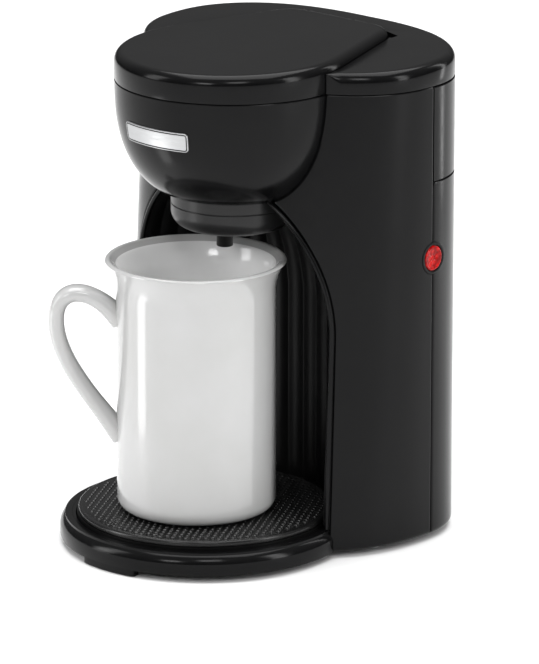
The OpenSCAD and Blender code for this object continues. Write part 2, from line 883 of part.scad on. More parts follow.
module check_valve() {
    color([0.85, 0.85, 0.86]) translate([-leg_x, heater_y, valve_z]) difference() {
        union() {
            cylinder(r = 6.5, h = valve_h);
            translate([0, 0, -8]) cylinder(r = tube_r, h = valve_h + 16);
        }
        translate([0, 0, 2]) cylinder(r = 4.6, h = valve_h - 4);
        translate([0, 0, -9]) cylinder(r = 2.4, h = valve_h + 18);
    }
}

module valve_ball() {
    drop = sqrt(pow(3, 2) - pow(2.4, 2));
    color([0.8, 0.8, 0.82]) translate([-leg_x, heater_y, valve_z + 2 + drop + 0.05])
        sphere(r = 3);
}

// From the check valve down and round into the heater tube.
module inlet_hose() {
    color([0.9, 0.9, 0.88]) {
        translate([-leg_x, heater_y, 0]) hose(heater_z + bend_r, valve_z - 1);
        translate([bend_r - leg_x, heater_y, heater_z + bend_r])
            rotate([90, 0, 0]) rotate([0, 0, 180]) elbow();
        hose_end(-1);
    }
}

// From the heater tube round, forward and up to the spout arm.
module riser_hose() {
    run = heater_y - riser_y - 2 * bend_r;
    color([0.9, 0.9, 0.88]) {
        hose_end(1);
        translate([leg_x - bend_r, heater_y - bend_r, heater_z]) elbow();
        translate([leg_x, heater_y - bend_r, heater_z]) rotate([90, 0, 0]) hose(0, run);
        translate([leg_x, riser_y + bend_r, heater_z + bend_r])
            rotate([90, 0, 90]) rotate([0, 0, 180]) elbow();
        translate([leg_x, riser_y, 0]) hose(heater_z + bend_r, seam_z - 4);
    }
}

arm_z = deck_z + 0.2;
arm_h = 3.6;
head_disc_z = seam_z - 4.2;

// A flat channel from the riser to the middle of the head.
module spout_arm() {
    length = norm([leg_x, riser_y - head_y]);
    heading = atan2(riser_y - head_y, leg_x);
    color([0.82, 0.82, 0.83]) at_head() rotate([0, 0, heading]) translate([0, 0, arm_z])
        difference() {
            union() {
                translate([0, -5, 0]) cube([length, 10, arm_h]);
                for (x = [0, length]) translate([x, 0, 0]) cylinder(r = 5, h = arm_h);
                translate([length, 0, seam_z - 12 - arm_z])
                    cylinder(r = socket_r, h = arm_z - seam_z + 13);
                translate([0, 0, head_disc_z + 3 - arm_z])
                    cylinder(r = socket_r, h = arm_z - head_disc_z);
            }
            translate([0, -3, 0.9]) cube([length, 6, arm_h - 1.8]);
            translate([length, 0, seam_z - 13 - arm_z]) cylinder(r = socket_bore, h = 13 + wall);
            translate([0, 0, head_disc_z - arm_z]) cylinder(r = socket_bore, h = 8);
        }
}

module shower_head() {
    disc_r = 13;
    color([0.82, 0.82, 0.83]) at_head() translate([0, 0, head_disc_z]) difference() {
        union() {
            cylinder(r = disc_r, h = 3);
            translate([0, 0, 3 - eps]) tube(tube_r + 1.6, tube_r, 0, 2);
        }
        translate([0, 0, 1]) cylinder(r = disc_r - 1.2, h = 1);
        translate([0, 0, 1]) cylinder(r = socket_bore, h = 4);
        for (k = [0 : 7]) rotate([0, 0, 45 * k]) translate([9, 0, -1]) cylinder(r = 0.8, h = 3);
    }
}

// ---- mains side ----

block_x = 0;
block_y = heater_y + 13;
block_z = plate_z + plate_t;
block_h = 12;
block_d = 12;
terminal_pitch = 8;

module terminal_block() {
    length = 3 * terminal_pitch + 2;
    color([0.85, 0.83, 0.75]) difference() {
        translate([block_x - length / 2, block_y - block_d / 2, block_z])
            cube([length, block_d, block_h]);
        for (k = [-1 : 1]) translate([block_x + terminal_pitch * k, block_y, block_z + 6])
            cylinder(r = 2, h = block_h);
    }
}

bushing_z = floor_z + 18;

// A bar along Y through the cord bushing, centred on the rear wall.
module bushing_bar(r, length) {
    translate([cord_x, rear_y(cord_x, wall / 2) + length / 2, bushing_z])
        rotate([90, 0, 0]) cylinder(r = r, h = length);
}

module cord_bushing() {
    color([0.05, 0.05, 0.05]) difference() {
        union() {
            bushing_bar(cord_r + 1.9, 8);
            translate([0, 4.5, 0]) bushing_bar(cord_r + 3.4, 2.2);
        }
        bushing_bar(cord_r, 20);
    }
}

wire_r = 0.9;
wire_lane = 3;
wire_up_x = side_x - 10;
wire_up_y = button_y + 10;
wire_turn_x = switch_back - tab_l / 2;

// Straight stretches of wire along each axis.
module wire_x(x0, x1, y, z) along_x(min(x0, x1) - wire_r, max(x0, x1) + wire_r, y, z, wire_r);
module wire_y(y0, y1, x, z) {
    translate([x, max(y0, y1) + wire_r, z]) rotate([90, 0, 0])
        cylinder(r = wire_r, h = abs(y1 - y0) + 2 * wire_r);
}
module wire_z(z0, z1, x, y) translate([x, y, z0]) cylinder(r = wire_r, h = z1 - z0);

// A wire from the block's terminal k up to the switch, in its own lane.
module switch_wire(k, lane, terminal_z) {
    lane_z = block_z + block_h + wire_lane + lane;
    turn_x = heater_l / 2 + 4 + lane;
    up_x = wire_up_x + wire_lane - lane;
    terminal_x = block_x + terminal_pitch * k;
    wire_z(block_z + block_h - 4, lane_z, terminal_x, block_y);
    wire_x(terminal_x, turn_x, block_y, lane_z);
    wire_y(wire_up_y, block_y, turn_x, lane_z);
    wire_x(turn_x, up_x, wire_up_y, lane_z);
    wire_z(lane_z, terminal_z, up_x, wire_up_y);
    wire_x(wire_turn_x, up_x, wire_up_y, terminal_z);
    wire_y(button_y + tab_w / 2 + wire_r + 0.1, wire_up_y, wire_turn_x, terminal_z);
}

module wiring() {
    color([0.6, 0.1, 0.1]) {
        switch_wire(1, 0, button_z + tab_z);
        switch_wire(0, wire_lane, button_z - tab_z);
    }
}

// ---- mug ----

function bezier(p, t) = pow(1 - t, 3) * p[0] + 3 * pow(1 - t, 2) * t * p[1]
    + 3 * (1 - t) * pow(t, 2) * p[2] + pow(t, 3) * p[3];

lip_h = 14;
function mug_radius(h) = mug_r + lip_flare * pow(max(0, h - mug_h + lip_h) / lip_h, 2);

// The handle's centre line, as distance from the mug's axis and height above its foot.
handle_out = mug_r + 26;
handle_top = [[mug_r - 2, mug_h - 28.5], [mug_r + 9, mug_h - 13], [handle_out + 0.5, mug_h - 11],
    [handle_out, mug_h - 29]];
handle_low = [[handle_out, mug_h - 29], [handle_out - 0.5, mug_h - 47], [mug_r + 9, mug_h - 65],
    [mug_r - 2, mug_h - 81]];
handle_line = concat([for (k = [0 : 10]) bezier(handle_top, k / 10)],
    [for (k = [1 : 12]) bezier(handle_low, k / 12)]);
handle_t = 7.2;
handle_w = 11.6;

module mug_handle() {
    last = len(handle_line) - 1;
    rings = [for (k = [0 : last])
        let (along = handle_line[min(k + 1, last)] - handle_line[max(k - 1, 0)],
             across = [along[1], -along[0]] / norm(along))
        [for (a = [0 : 30 : 330])
            let (u = handle_t / 2 * signed_power(cos(a), 0.7),
                 v = handle_w / 2 * signed_power(sin(a), 0.7))
            [handle_line[k][0] + u * across[0], v, handle_line[k][1] + u * across[1]]]];
    loft(rings);
}

module mug() {
    foot_r = mug_r - 3;
    turn = 5;
    heights = [for (k = [0 : 7]) mug_h - 1.2 - lip_h * (1 - k / 7)];
    body = [for (h = heights) [mug_radius(h), h]];
    lip = mug_radius(mug_h);
    color([0.95, 0.95, 0.94]) translate([0, mug_y, mug_z]) difference() {
        union() {
            rotate_extrude() polygon(concat(
                [[0, 1.4], [foot_r - 6, 1.4], [foot_r - 4.5, 0], [foot_r - turn + 3, 0]],
                [for (a = [-75 : 15 : 0]) [mug_r - turn + turn * cos(a), turn + turn * sin(a)]],
                body,
                [[lip - 0.5, mug_h - 0.3], [lip - mug_wall / 2, mug_h], [0, mug_h]]));
            rotate([0, 0, handle_angle]) mug_handle();
        }
        rotate_extrude() polygon(concat(
            [[0, mug_wall + 1], [mug_r - mug_wall - 5, mug_wall + 1]],
            [for (a = [-75 : 15 : 0]) [mug_r - mug_wall - 5 + 5 * cos(a),
                mug_wall + 6 + 5 * sin(a)]],
            [for (p = body) [p[0] - mug_wall, p[1]]],
            [[lip - mug_wall / 2 - 1.1, mug_h - 0.35], [lip - mug_wall / 2, mug_h],
             [lip - mug_wall / 2, mug_h + 1], [0, mug_h + 1]]));
    }
}

front_housing();
rear_cover();
water_tank();
tank_outlet();
top_cap();
lid();
lid_hinge_pin();
bay_liner();
head_bowl();
brew_basket();
filter_frame();
filter_mesh();
drip_cone();
drip_nozzle();
badge();
base_ring();
drip_tray();
drip_grille();
bottom_plate();
bottom_screws();
front_foot();
rubber_feet();
button_bezel();
power_button();
power_switch();
heater_block();
heater_tube();
heater_element();
heater_bracket();
heater_screws();
thermostat();
thermal_fuse();
check_valve();
valve_ball();
inlet_hose();
valve_hose();
riser_hose();
spout_arm();
shower_head();
terminal_block();
cord_bushing();
wiring();
mug();
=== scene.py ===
"""Looks of the single-cup drip coffee maker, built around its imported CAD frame.

Lengths are in millimetres inside the builders and become metres when a mesh is made.
The row's frame: +X the machine's right, -Y its front, +Z up, the table at z = 0.
"""
import json
import math

import bmesh
import bpy
import numpy as np
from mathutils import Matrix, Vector


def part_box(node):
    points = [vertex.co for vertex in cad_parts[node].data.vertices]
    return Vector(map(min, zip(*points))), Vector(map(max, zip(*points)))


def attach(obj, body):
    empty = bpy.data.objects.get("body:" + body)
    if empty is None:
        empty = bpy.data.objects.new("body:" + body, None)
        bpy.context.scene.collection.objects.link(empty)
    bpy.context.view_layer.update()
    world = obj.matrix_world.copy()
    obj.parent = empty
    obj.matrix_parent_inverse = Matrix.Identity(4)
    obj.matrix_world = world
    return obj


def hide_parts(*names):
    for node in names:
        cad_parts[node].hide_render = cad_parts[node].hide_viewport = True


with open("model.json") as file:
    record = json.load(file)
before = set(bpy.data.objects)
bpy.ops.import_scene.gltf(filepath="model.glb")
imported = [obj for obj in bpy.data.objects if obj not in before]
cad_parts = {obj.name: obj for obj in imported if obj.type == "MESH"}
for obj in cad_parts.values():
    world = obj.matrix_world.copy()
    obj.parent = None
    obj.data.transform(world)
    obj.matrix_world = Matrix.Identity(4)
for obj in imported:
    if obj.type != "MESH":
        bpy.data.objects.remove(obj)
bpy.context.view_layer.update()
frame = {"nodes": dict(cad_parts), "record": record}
MM = 0.001

# ---- design values, the same as the CAD part's ----

side_x = 76.6
body_d = 174.2
seam_h = 202.7
floor_z = 2.8
tower_back = 49.5
tower_front_low = 7.3
tower_front_top = 11.2
oval_power = 2.31
wall = 2.4
seam_gap = 0.35
base_r = 64.0
cup_y = base_r - body_d / 2
head_y = cup_y + 18.3
tower_y = body_d / 2 - tower_back
part_y = tower_y + 2.8
seam_z = floor_z + seam_h
tank_z = seam_z - 42.7

lid_h = 12.3
lid_slope = 0.021
cap_h = 9.4
cap_slope = 0.03
edge_r = 4.4
head_r = 51.5
lid_tail = 72.9
lid_corner_r = 15.0
lid_corner_x = 19.0
lid_gap = 0.45
tail_r = 4.6
notch_y = head_y + 5.7
hinge_y = head_y + lid_tail - tail_r
hinge_z = seam_z + 10.3
skirt_z = seam_z + 7.0
deck_z = seam_z + seam_gap + 2.0

bowl_h = 50.2
bowl_z = seam_z - bowl_h
basket_r = 27.2
bowl_gap = 0.2
basket_floor = bowl_z - 4.0
cone_low = basket_floor - 11.8
cone_round = 7.3
nozzle_low = cone_low - 8.7
nozzle_y = head_y - 5.3

bay_r = base_r - 4.0
liner_t = 2.0
arch_h = 67.0
arch_z = seam_z - 40.7 - arch_h
base_h = 9.8
rim_z = floor_z + base_h
grille_r = 56.0
grille_z = rim_z + 3.5
bump_h = 0.3

mug_r = 35.0
mug_wall = 3.4
lip_flare = 4.8
lip_h = 14.0
mug_y = cup_y - 5.6
mug_z = grille_z + bump_h
mug_h = nozzle_low - 1.5 - mug_z
handle_angle = 222.0

button_r = 5.5
button_z = floor_z + 126.2
button_y = part_y
bezel_r = button_r + 1.8
button_face = side_x + 0.5

# ---- mesh tools ----


def arc(cx, cy, r, start, end, steps):
    """Points on a circle's arc, angles in degrees."""
    turn = np.radians(np.linspace(start, end, steps + 1))
    return np.stack([cx + r * np.cos(turn), cy + r * np.sin(turn)], 1)


def rounded(corners, steps=5):
    """A closed outline whose corners (x, y, radius) are rounded by that radius."""
    out = []
    count = len(corners)
    for k, (x, y, r) in enumerate(corners):
        here = np.array([x, y], float)
        before = np.array(corners[k - 1][:2], float) - here
        after = np.array(corners[(k + 1) % count][:2], float) - here
        if r <= 0:
            out.append(here)
            continue
        before /= np.linalg.norm(before)
        after /= np.linalg.norm(after)
        half = math.acos(max(-1.0, min(1.0, float(before @ after)))) / 2
        reach = r / math.tan(half)
        middle = here + (before + after) / np.linalg.norm(before + after) * r / math.sin(half)
        first = here + before * reach - middle
        last = here + after * reach - middle
        a0 = math.atan2(first[1], first[0])
        a1 = math.atan2(last[1], last[0])
        swing = (a1 - a0 + math.pi) % (2 * math.pi) - math.pi
        for t in np.linspace(0, 1, steps + 1):
            out.append(middle + r * np.array([math.cos(a0 + swing * t), math.sin(a0 + swing * t)]))
    return np.array(out)


def grid_faces(rows, columns, wrap_rows=False, wrap_columns=True):
    """Quads over rows x columns points, numbered row by row."""
    faces = []
    for i in range(rows if wrap_rows else rows - 1):
        for j in range(columns if wrap_columns else columns - 1):
            a, b = i * columns, ((i + 1) % rows) * columns
            k = (j + 1) % columns
            faces.append((a + j, a + k, b + k, b + j))
    return faces


class Shape:
    """Points and faces of a piece while it is being put together."""

    def __init__(self):
        self.points, self.faces, self.paint = [], [], []

    def add(self, points, faces, paint=0):
        first = len(self.points)
        self.points += [tuple(map(float, p)) for p in points]
        self.faces += [tuple(first + i for i in f) for f in faces]
        self.paint += [paint] * len(faces)
        return self

    def loft(self, rings, caps=True, paint=0):
        """A skin over closed rings; caps closes both ends."""
        count = len(rings[0])
        faces = grid_faces(len(rings), count)
        if caps:
            last = (len(rings) - 1) * count
            faces.append(tuple(range(count - 1, -1, -1)))
            faces.append(tuple(last + i for i in range(count)))
        return self.add([p for ring in rings for p in ring], faces, paint)

    def tube(self, rings, paint=0):
        """A skin over closed rings whose last ring joins the first."""
        count = len(rings[0])
        faces = grid_faces(len(rings), count, wrap_rows=True)
        return self.add([p for ring in rings for p in ring], faces, paint)

    def revolve(self, outline, centre=(0, 0), steps=160, paint=0):
        """A closed outline of (radius, z) turned about a vertical axis."""
        turn = np.radians(np.arange(steps) * 360 / steps)
        rings = [[(centre[0] + r * math.cos(t), centre[1] + r * math.sin(t), z) for t in turn]
                 for r, z in outline]
        return self.tube(rings, paint)


def on_side(points, place):
    """Turns points about a vertical axis at the origin into ones about +X through place."""
    return [(place[0] + z, place[1] + x, place[2] + y) for x, y, z in points]


def make(name, shape, materials, body, replaces=(), sharp=32.0, turn=None):
    """Makes the piece, smooth-shaded but for edges sharper than the given angle."""
    mesh = bpy.data.meshes.new(name)
    points = on_side(shape.points, turn) if turn is not None else shape.points
    mesh.from_pydata([[c * MM for c in p] for p in points], [], shape.faces)
    for material in materials if isinstance(materials, (list, tuple)) else [materials]:
        mesh.materials.append(material)
    mesh.polygons.foreach_set("material_index", shape.paint)
    bm = bmesh.new()
    bm.from_mesh(mesh)
    bmesh.ops.remove_doubles(bm, verts=bm.verts, dist=2e-6)
    bmesh.ops.dissolve_degenerate(bm, edges=bm.edges, dist=1e-6)
    bmesh.ops.recalc_face_normals(bm, faces=bm.faces)
    bm.to_mesh(mesh)
    bm.free()
    piece = bpy.data.objects.new(name, mesh)
    bpy.context.scene.collection.objects.link(piece)
    shade(piece, sharp)
    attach(piece, body)
    if replaces:
        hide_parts(*replaces)
    return piece


def shade(piece, sharp=32.0):
    mesh = piece.data
    bm = bmesh.new()
    bm.from_mesh(mesh)
    limit = math.radians(sharp)
    for face in bm.faces:
        face.smooth = True
    for edge in bm.edges:
        edge.smooth = len(edge.link_faces) == 2 and edge.calc_face_angle(0) < limit
    bm.to_mesh(mesh)
    bm.free()


def combine(piece, shape, operation, sharp):
    """Joins a closed shape to a piece, or takes it away."""
    mesh = bpy.data.meshes.new("tool")
    mesh.from_pydata([[c * MM for c in p] for p in shape.points], [], shape.faces)
    bm = bmesh.new()
    bm.from_mesh(mesh)
    bmesh.ops.remove_doubles(bm, verts=bm.verts, dist=2e-6)
    bmesh.ops.recalc_face_normals(bm, faces=bm.faces)
    bm.to_mesh(mesh)
    bm.free()
    tool = bpy.data.objects.new("tool", mesh)
    bpy.context.scene.collection.objects.link(tool)
    step = piece.modifiers.new("combine", "BOOLEAN")
    step.operation = operation
    step.solver = "EXACT"
    step.object = tool
    graph = bpy.context.evaluated_depsgraph_get()
    result = bpy.data.meshes.new_from_object(piece.evaluated_get(graph))
    piece.modifiers.clear()
    old = piece.data
    piece.data = result
    bpy.data.meshes.remove(old)
    bpy.data.objects.remove(tool)
    shade(piece, sharp)


def cut(piece, shape):
    combine(piece, shape, "DIFFERENCE", 32.0)


def bar(axis, centre, radii, ends, steps):
    """A round bar or cone along x or y; centre holds its other two coordinates."""
    turn = np.radians(np.arange(steps) * 360 / steps)
    rings = []
    for r, end in zip(radii, ends):
        around = [(centre[0] + r * math.cos(t), centre[1] + r * math.sin(t)) for t in turn]
        rings.append([(end, a, b) if axis == "x" else (a, end, b) for a, b in around])
    return Shape().loft(rings)


def crossing(low, high, before):
    """The value between low and high at which before() turns from true to false."""
    for _ in range(50):
        mid = (low + high) / 2
        if before(mid):
            low = mid
        else:
            high = mid
    return high


# ---- outlines ----


def signed_power(v, p):
    return np.sign(v) * np.abs(v) ** p


def tower_front(z):
    lean = (tower_front_low + tower_front_top) / seam_h
    return cup_y - tower_front_low + lean * (z - floor_z)


def oval(angle, z, inset=0.0):
    """The tower's outline at height z; angle in degrees, 0 at +X, -90 at the front."""
    a = np.radians(angle)
    depth = np.where(np.sin(a) < 0, tower_y - tower_front(z), tower_back)
    x = (side_x - inset) * signed_power(np.cos(a), 2 / oval_power)
    y = tower_y + (depth - inset) * signed_power(np.sin(a), 2 / oval_power)
    return np.stack([x, y], -1)


def oval_angle_at(y, z, inset=0.0):
    """The angle on the right-hand side at which the oval passes y."""
    return crossing(-89.0, 89.0, lambda angle: oval(angle, z, inset)[1] < y)


def bowl_radius(depth):
    t = np.clip(depth / bowl_h, 0, 1)
    return basket_r + bowl_gap + (head_r - basket_r - bowl_gap) * (1 - t ** 2.6) ** 0.62


def bay_radius(z, grow=0.0):
    up = np.clip((z - arch_z) / (arch_h + grow), 0, 1)
    return (bay_r + grow) * math.sqrt(max(0.0, 1 - up * up))


def bay_edge_angle(z, grow, bowl_grow):
    """The angle where the tower's skin begins, beside the bay and the bowl."""
    def inside(angle):
        p = oval(angle, z)
        bay = math.hypot(p[0], p[1] - cup_y) < bay_radius(z, grow)
        bowl = z > bowl_z and math.hypot(p[0], p[1] - head_y) < bowl_radius(seam_z - z) + bowl_grow
        return bay or bowl
    return crossing(-90.0, 0.0, inside)


corner_y = lid_tail - lid_corner_r
tangent = math.degrees(math.atan2(corner_y, lid_corner_x)
    - math.acos((head_r - lid_corner_r) / math.hypot(lid_corner_x, corner_y)))


def lid_outline(inset):
    """The lid's outline, from the left tangent point round the front, right and tail."""
    def side(p, q, n):
        return np.linspace(p, q, n + 1)[1:-1]
    front = arc(0, head_y, head_r - inset, -180 - tangent, tangent, 120)
    right = arc(lid_corner_x, head_y + corner_y, lid_corner_r - inset, tangent, 90, 20)
    left = arc(-lid_corner_x, head_y + corner_y, lid_corner_r - inset, 90, 180 - tangent, 20)
    return np.concatenate([front, side(front[-1], right[0], 24), right,
                           side(right[-1], left[0], 16), left, side(left[-1], front[0], 24)])


def lid_top(y):
    return seam_z + lid_h + lid_slope * (y - head_y + head_r)


def cap_top(y):
    return seam_z + cap_h + cap_slope * (y - notch_y)


# ---- materials ----


def new_material(name):
    material = bpy.data.materials.new(name)
    material.use_nodes = True
    tree = material.node_tree
    shader = tree.nodes["Principled BSDF"]
    return material, tree, shader


def node(tree, kind, **values):
    made = tree.nodes.new(kind)
    for key, value in values.items():
        if key in made.inputs:
            made.inputs[key].default_value = value
        else:
            setattr(made, key, value)
    return made


def noise(tree, where, scale, detail=3.0, rough=0.55):
    made = node(tree, "ShaderNodeTexNoise", Scale=scale, Detail=detail, Roughness=rough)
    tree.links.new(where, made.inputs["Vector"])
    return made.outputs["Fac"]


def ramp(tree, value, low, high, out_low, out_high):
    made = tree.nodes.new("ShaderNodeMapRange")
    for key, number in zip(("From Min", "From Max", "To Min", "To Max"),
                           (low, high, out_low, out_high)):
        made.inputs[key].default_value = number
    tree.links.new(value, made.inputs["Value"])
    return made.outputs["Result"]


def blend_colour(tree, amount, first, second):
    made = tree.nodes.new("ShaderNodeMix")
    made.data_type = "RGBA"
    tree.links.new(amount, made.inputs["Factor"])
    for socket, colour in (("A", first), ("B", second)):
        made.inputs[{"A": 6, "B": 7}[socket]].default_value = (*colour, 1)
    return made.outputs[2]


def surface(name, colour, other, roughness, grain=900, grain_depth=0.02, smudge=0.05,
            metallic=0.0, coat=0.0, specular=0.5, bump_scale=None):
    """Moulded or metal surface: fine grain, drifting colour, smudged roughness."""
    material, tree, shader = new_material(name)
    where = tree.nodes.new("ShaderNodeTexCoord").outputs["Object"]
    drift = noise(tree, where, 22, 4)
    fine = noise(tree, where, grain, 2, 0.6)
    streak = noise(tree, where, 160, 5, 0.7)
    tree.links.new(blend_colour(tree, ramp(tree, drift, 0.35, 0.65, 0, 1), colour, other),
                   shader.inputs["Base Color"])
    tree.links.new(ramp(tree, streak, 0.35, 0.7, roughness - smudge / 2, roughness + smudge),
                   shader.inputs["Roughness"])
    bump = node(tree, "ShaderNodeBump", Strength=1.0, Distance=grain_depth * MM)
    tree.links.new(fine, bump.inputs["Height"])
    tree.links.new(bump.outputs["Normal"], shader.inputs["Normal"])
    shader.inputs["Metallic"].default_value = metallic
    shader.inputs["Coat Weight"].default_value = coat
    shader.inputs["Coat Roughness"].default_value = 0.06
    shader.inputs["Specular IOR Level"].default_value = specular
    return material


gloss_black = surface("gloss_black", (0.0026, 0.0026, 0.0028), (0.0034, 0.0034, 0.0036), 0.16,
                      grain=700, grain_depth=0.003, specular=0.13)
satin_black = surface("satin_black", (0.0028, 0.0028, 0.003), (0.004, 0.004, 0.004), 0.34,
                      grain=1500, grain_depth=0.02, specular=0.12)
grille_black = surface("grille_black", (0.005, 0.005, 0.0052), (0.007, 0.007, 0.007), 0.24,
                       grain=1400, grain_depth=0.01, specular=0.3)
dot_black = surface("dot_black", (0.004, 0.004, 0.004), (0.006, 0.006, 0.006), 0.16, grain=900,
                    grain_depth=0.004, specular=0.6, coat=0.2)
rubber_black = surface("rubber_black", (0.012, 0.012, 0.012), (0.02, 0.02, 0.02), 0.7,
                       grain=1800, grain_depth=0.04)
dark_grey = surface("dark_grey", (0.009, 0.009, 0.0095), (0.012, 0.012, 0.012), 0.3,
                    grain=1200, grain_depth=0.01, specular=0.3)
glaze_white = surface("glaze_white", (0.46, 0.46, 0.46), (0.43, 0.43, 0.425), 0.14,
                      grain=420, grain_depth=0.006, smudge=0.03, coat=0.5)
# The mug's inside is the same glaze given a far brighter colour: painted light, standing in for light
# that does not reach into the mug.
glaze_inside_painted_light = surface("glaze_inside_painted_light", (0.86, 0.86, 0.86), (0.82, 0.82, 0.815), 0.16, grain=420,
                       grain_depth=0.006, smudge=0.03, coat=0.3)
clear_grey = surface("clear_grey", (0.5, 0.5, 0.5), (0.56, 0.56, 0.55), 0.28)
silicone = surface("silicone", (0.72, 0.71, 0.67), (0.78, 0.77, 0.74), 0.45, grain_depth=0.03)
cast_metal = surface("cast_metal", (0.6, 0.61, 0.62), (0.5, 0.51, 0.52), 0.42, grain=1100,
                     grain_depth=0.06, metallic=1.0)
plated_steel = surface("plated_steel", (0.55, 0.56, 0.58), (0.48, 0.49, 0.5), 0.26,
                       grain_depth=0.01, metallic=1.0)
cream = surface("cream", (0.66, 0.62, 0.5), (0.7, 0.66, 0.55), 0.5, grain_depth=0.03)
wire_red = surface("wire_red", (0.4, 0.03, 0.03), (0.3, 0.02, 0.02), 0.45)


def brushed_plate():
    """Lacquered aluminium with fine horizontal brushing."""
    material, tree, shader = new_material("brushed_plate")
    where = tree.nodes.new("ShaderNodeTexCoord").outputs["Object"]
    stretch = node(tree, "ShaderNodeMapping")
    stretch.inputs["Scale"].default_value = (60, 60, 4200)
    tree.links.new(where, stretch.inputs["Vector"])
    lines = noise(tree, stretch.outputs["Vector"], 1.0, 2)
    tree.links.new(blend_colour(tree, lines, (0.36, 0.365, 0.37), (0.5, 0.505, 0.51)),
                   shader.inputs["Base Color"])
    tree.links.new(ramp(tree, lines, 0.3, 0.7, 0.3, 0.42), shader.inputs["Roughness"])
    bump = node(tree, "ShaderNodeBump", Strength=1.0, Distance=0.004 * MM)
    tree.links.new(lines, bump.inputs["Height"])
    tree.links.new(bump.outputs["Normal"], shader.inputs["Normal"])
    shader.inputs["Metallic"].default_value = 0.75
    return material


def red_lens():
    """Tinted button plastic with a mottled depth and a faint painted glow that stands in for light
    passing through the lens.
    """
    material, tree, shader = new_material("red_lens")
    where = tree.nodes.new("ShaderNodeTexCoord").outputs["Object"]
    cells = node(tree, "ShaderNodeTexVoronoi", Scale=420.0)
    tree.links.new(where, cells.inputs["Vector"])
    mottle = cells.outputs["Distance"]
    colour = blend_colour(tree, ramp(tree, mottle, 0.1, 0.7, 0, 1),
                          (0.5, 0.004, 0.003), (0.16, 0.0, 0.0))
    tree.links.new(colour, shader.inputs["Base Color"])
    tree.links.new(colour, shader.inputs["Emission Color"])
    tree.links.new(ramp(tree, mottle, 0, 1, 0.14, 0.24), shader.inputs["Roughness"])
    # Painted glow: the red colour is given out as light, standing in for light shining through the
    # translucent plastic.
    shader.inputs["Emission Strength"].default_value = 0.12
    shader.inputs["Specular IOR Level"].default_value = 0.12
    shader.inputs["Coat Weight"].default_value = 0.02
    shader.inputs["Coat Roughness"].default_value = 0.05
    return material


def woven_steel():
    """Fine wire cloth: two crossed waves drive bump, and the troughs between the wires are painted
    dark as painted shade for the pores.
    """
    material, tree, shader = new_material("woven_steel")
    where = tree.nodes.new("ShaderNodeTexCoord").outputs["Object"]
    height = None
    for direction in ("X", "Z"):
        wave = node(tree, "ShaderNodeTexWave", Scale=900.0, Distortion=0.0)
        wave.bands_direction = direction
        tree.links.new(where, wave.inputs["Vector"])
        if height is None:
            height = wave.outputs["Fac"]
        else:
            both = node(tree, "ShaderNodeMath", operation="MAXIMUM")
            tree.links.new(height, both.inputs[0])
            tree.links.new(wave.outputs["Fac"], both.inputs[1])
            height = both.outputs[0]
    # Darker in the troughs between wires: painted shade, not real openings.
    tree.links.new(blend_colour(tree, height, (0.12, 0.12, 0.12), (0.6, 0.6, 0.6)),
                   shader.inputs["Base Color"])
    tree.links.new(ramp(tree, height, 0, 1, 0.5, 0.3), shader.inputs["Roughness"])
    bump = node(tree, "ShaderNodeBump", Strength=0.8, Distance=0.1 * MM)
    tree.links.new(height, bump.inputs["Height"])
    tree.links.new(bump.outputs["Normal"], shader.inputs["Normal"])
    shader.inputs["Metallic"].default_value = 0.9
    return material


plate_metal = brushed_plate()
red_plastic = red_lens()
mesh_steel = woven_steel()

# ---- tower shells ----

edge_rounding = ((0, 1.4), (0.25, 0.85), (0.6, 0.42), (1.1, 0.14), (1.8, 0.02), (2.6, 0))
part_half = seam_gap / 2


def shell_section(start, stop, z, inset, end_r=0.7, steps=90):
    """A closed loop round a strip of the tower's wall between two angles of its oval."""
    span = np.linspace(start, stop, steps)
    outer = oval(span, z, inset)
    inner = oval(span[::-1], z, wall)

    stop_nose = nose(outer[-1], inner[0], end_r, 1)
    start_nose = nose(outer[0], inner[-1], end_r, -1)[::-1]
    loop = list(outer[1:-1]) + stop_nose + list(inner[1:-1]) + start_nose
    return [(p[0], p[1], z) for p in loop]


def nose(a, b, end_r, hand):
    """A half-round nose between an outer point a and an inner point b."""
    along = (b - a) / np.linalg.norm(b - a)
    out = hand * np.array([along[1], -along[0]])
    return [a + along * end_r * (1 - math.cos(t)) - out * end_r * (1 - math.sin(t))
            for t in np.radians((20, 45, 70, 90))]


def shell_levels(top, extra=()):
    low = [floor_z + h for h, _ in edge_rounding]
    body = list(np.arange(low[-1] + 2.5, top - 1, 2.5))
    return sorted(low + body + list(extra) + [top - 0.35, top])


def shell_inset(z, top):
    heights = [h for h, _ in edge_rounding]
    insets = [i for _, i in edge_rounding]
    low = float(np.interp(z - floor_z, heights, insets))
    return low + (0.3 if z > top - 0.01 else 0)


def front_shell(side):
    top = seam_z
    levels = shell_levels(top, extra=np.arange(151, 165, 0.9))
    rings = []
    for z in levels:
        start = bay_edge_angle(z, liner_t + bowl_gap, bowl_gap)
        stop = oval_angle_at(part_y - part_half, z)
        ring = shell_section(start, stop, z, shell_inset(z, top))
        rings.append([(side * x, y, h) for x, y, h in ring])
    return Shape().loft(rings)


button_hole = bar("x", (button_y, button_z), (bezel_r, bezel_r), (side_x - 20, side_x + 5), 96)
right_shell = make("housing_right", front_shell(1), gloss_black, "machine",
                   ["front_housing"])
cut(right_shell, button_hole)
make("housing_left", front_shell(-1), gloss_black, "machine",
     ["front_housing"])


def back_shell():
    top = tank_z - part_half
    rings = []
    for z in shell_levels(top):
        start = oval_angle_at(part_y + part_half, z)
        rings.append(shell_section(start, 180 - start, z, shell_inset(z, top), steps=200))
    return Shape().loft(rings)


bushing_x, bushing_y, bushing_z = 30.0, 84.13, floor_z + 18
bushing_r = 5.6
rear = make("rear_panel", back_shell(), gloss_black, "machine", ["rear_cover"])
cut(rear, button_hole)
cut(rear, bar("y", (bushing_x, bushing_z), (bushing_r, bushing_r),
              (bushing_y - 14, bushing_y + 14), 80))


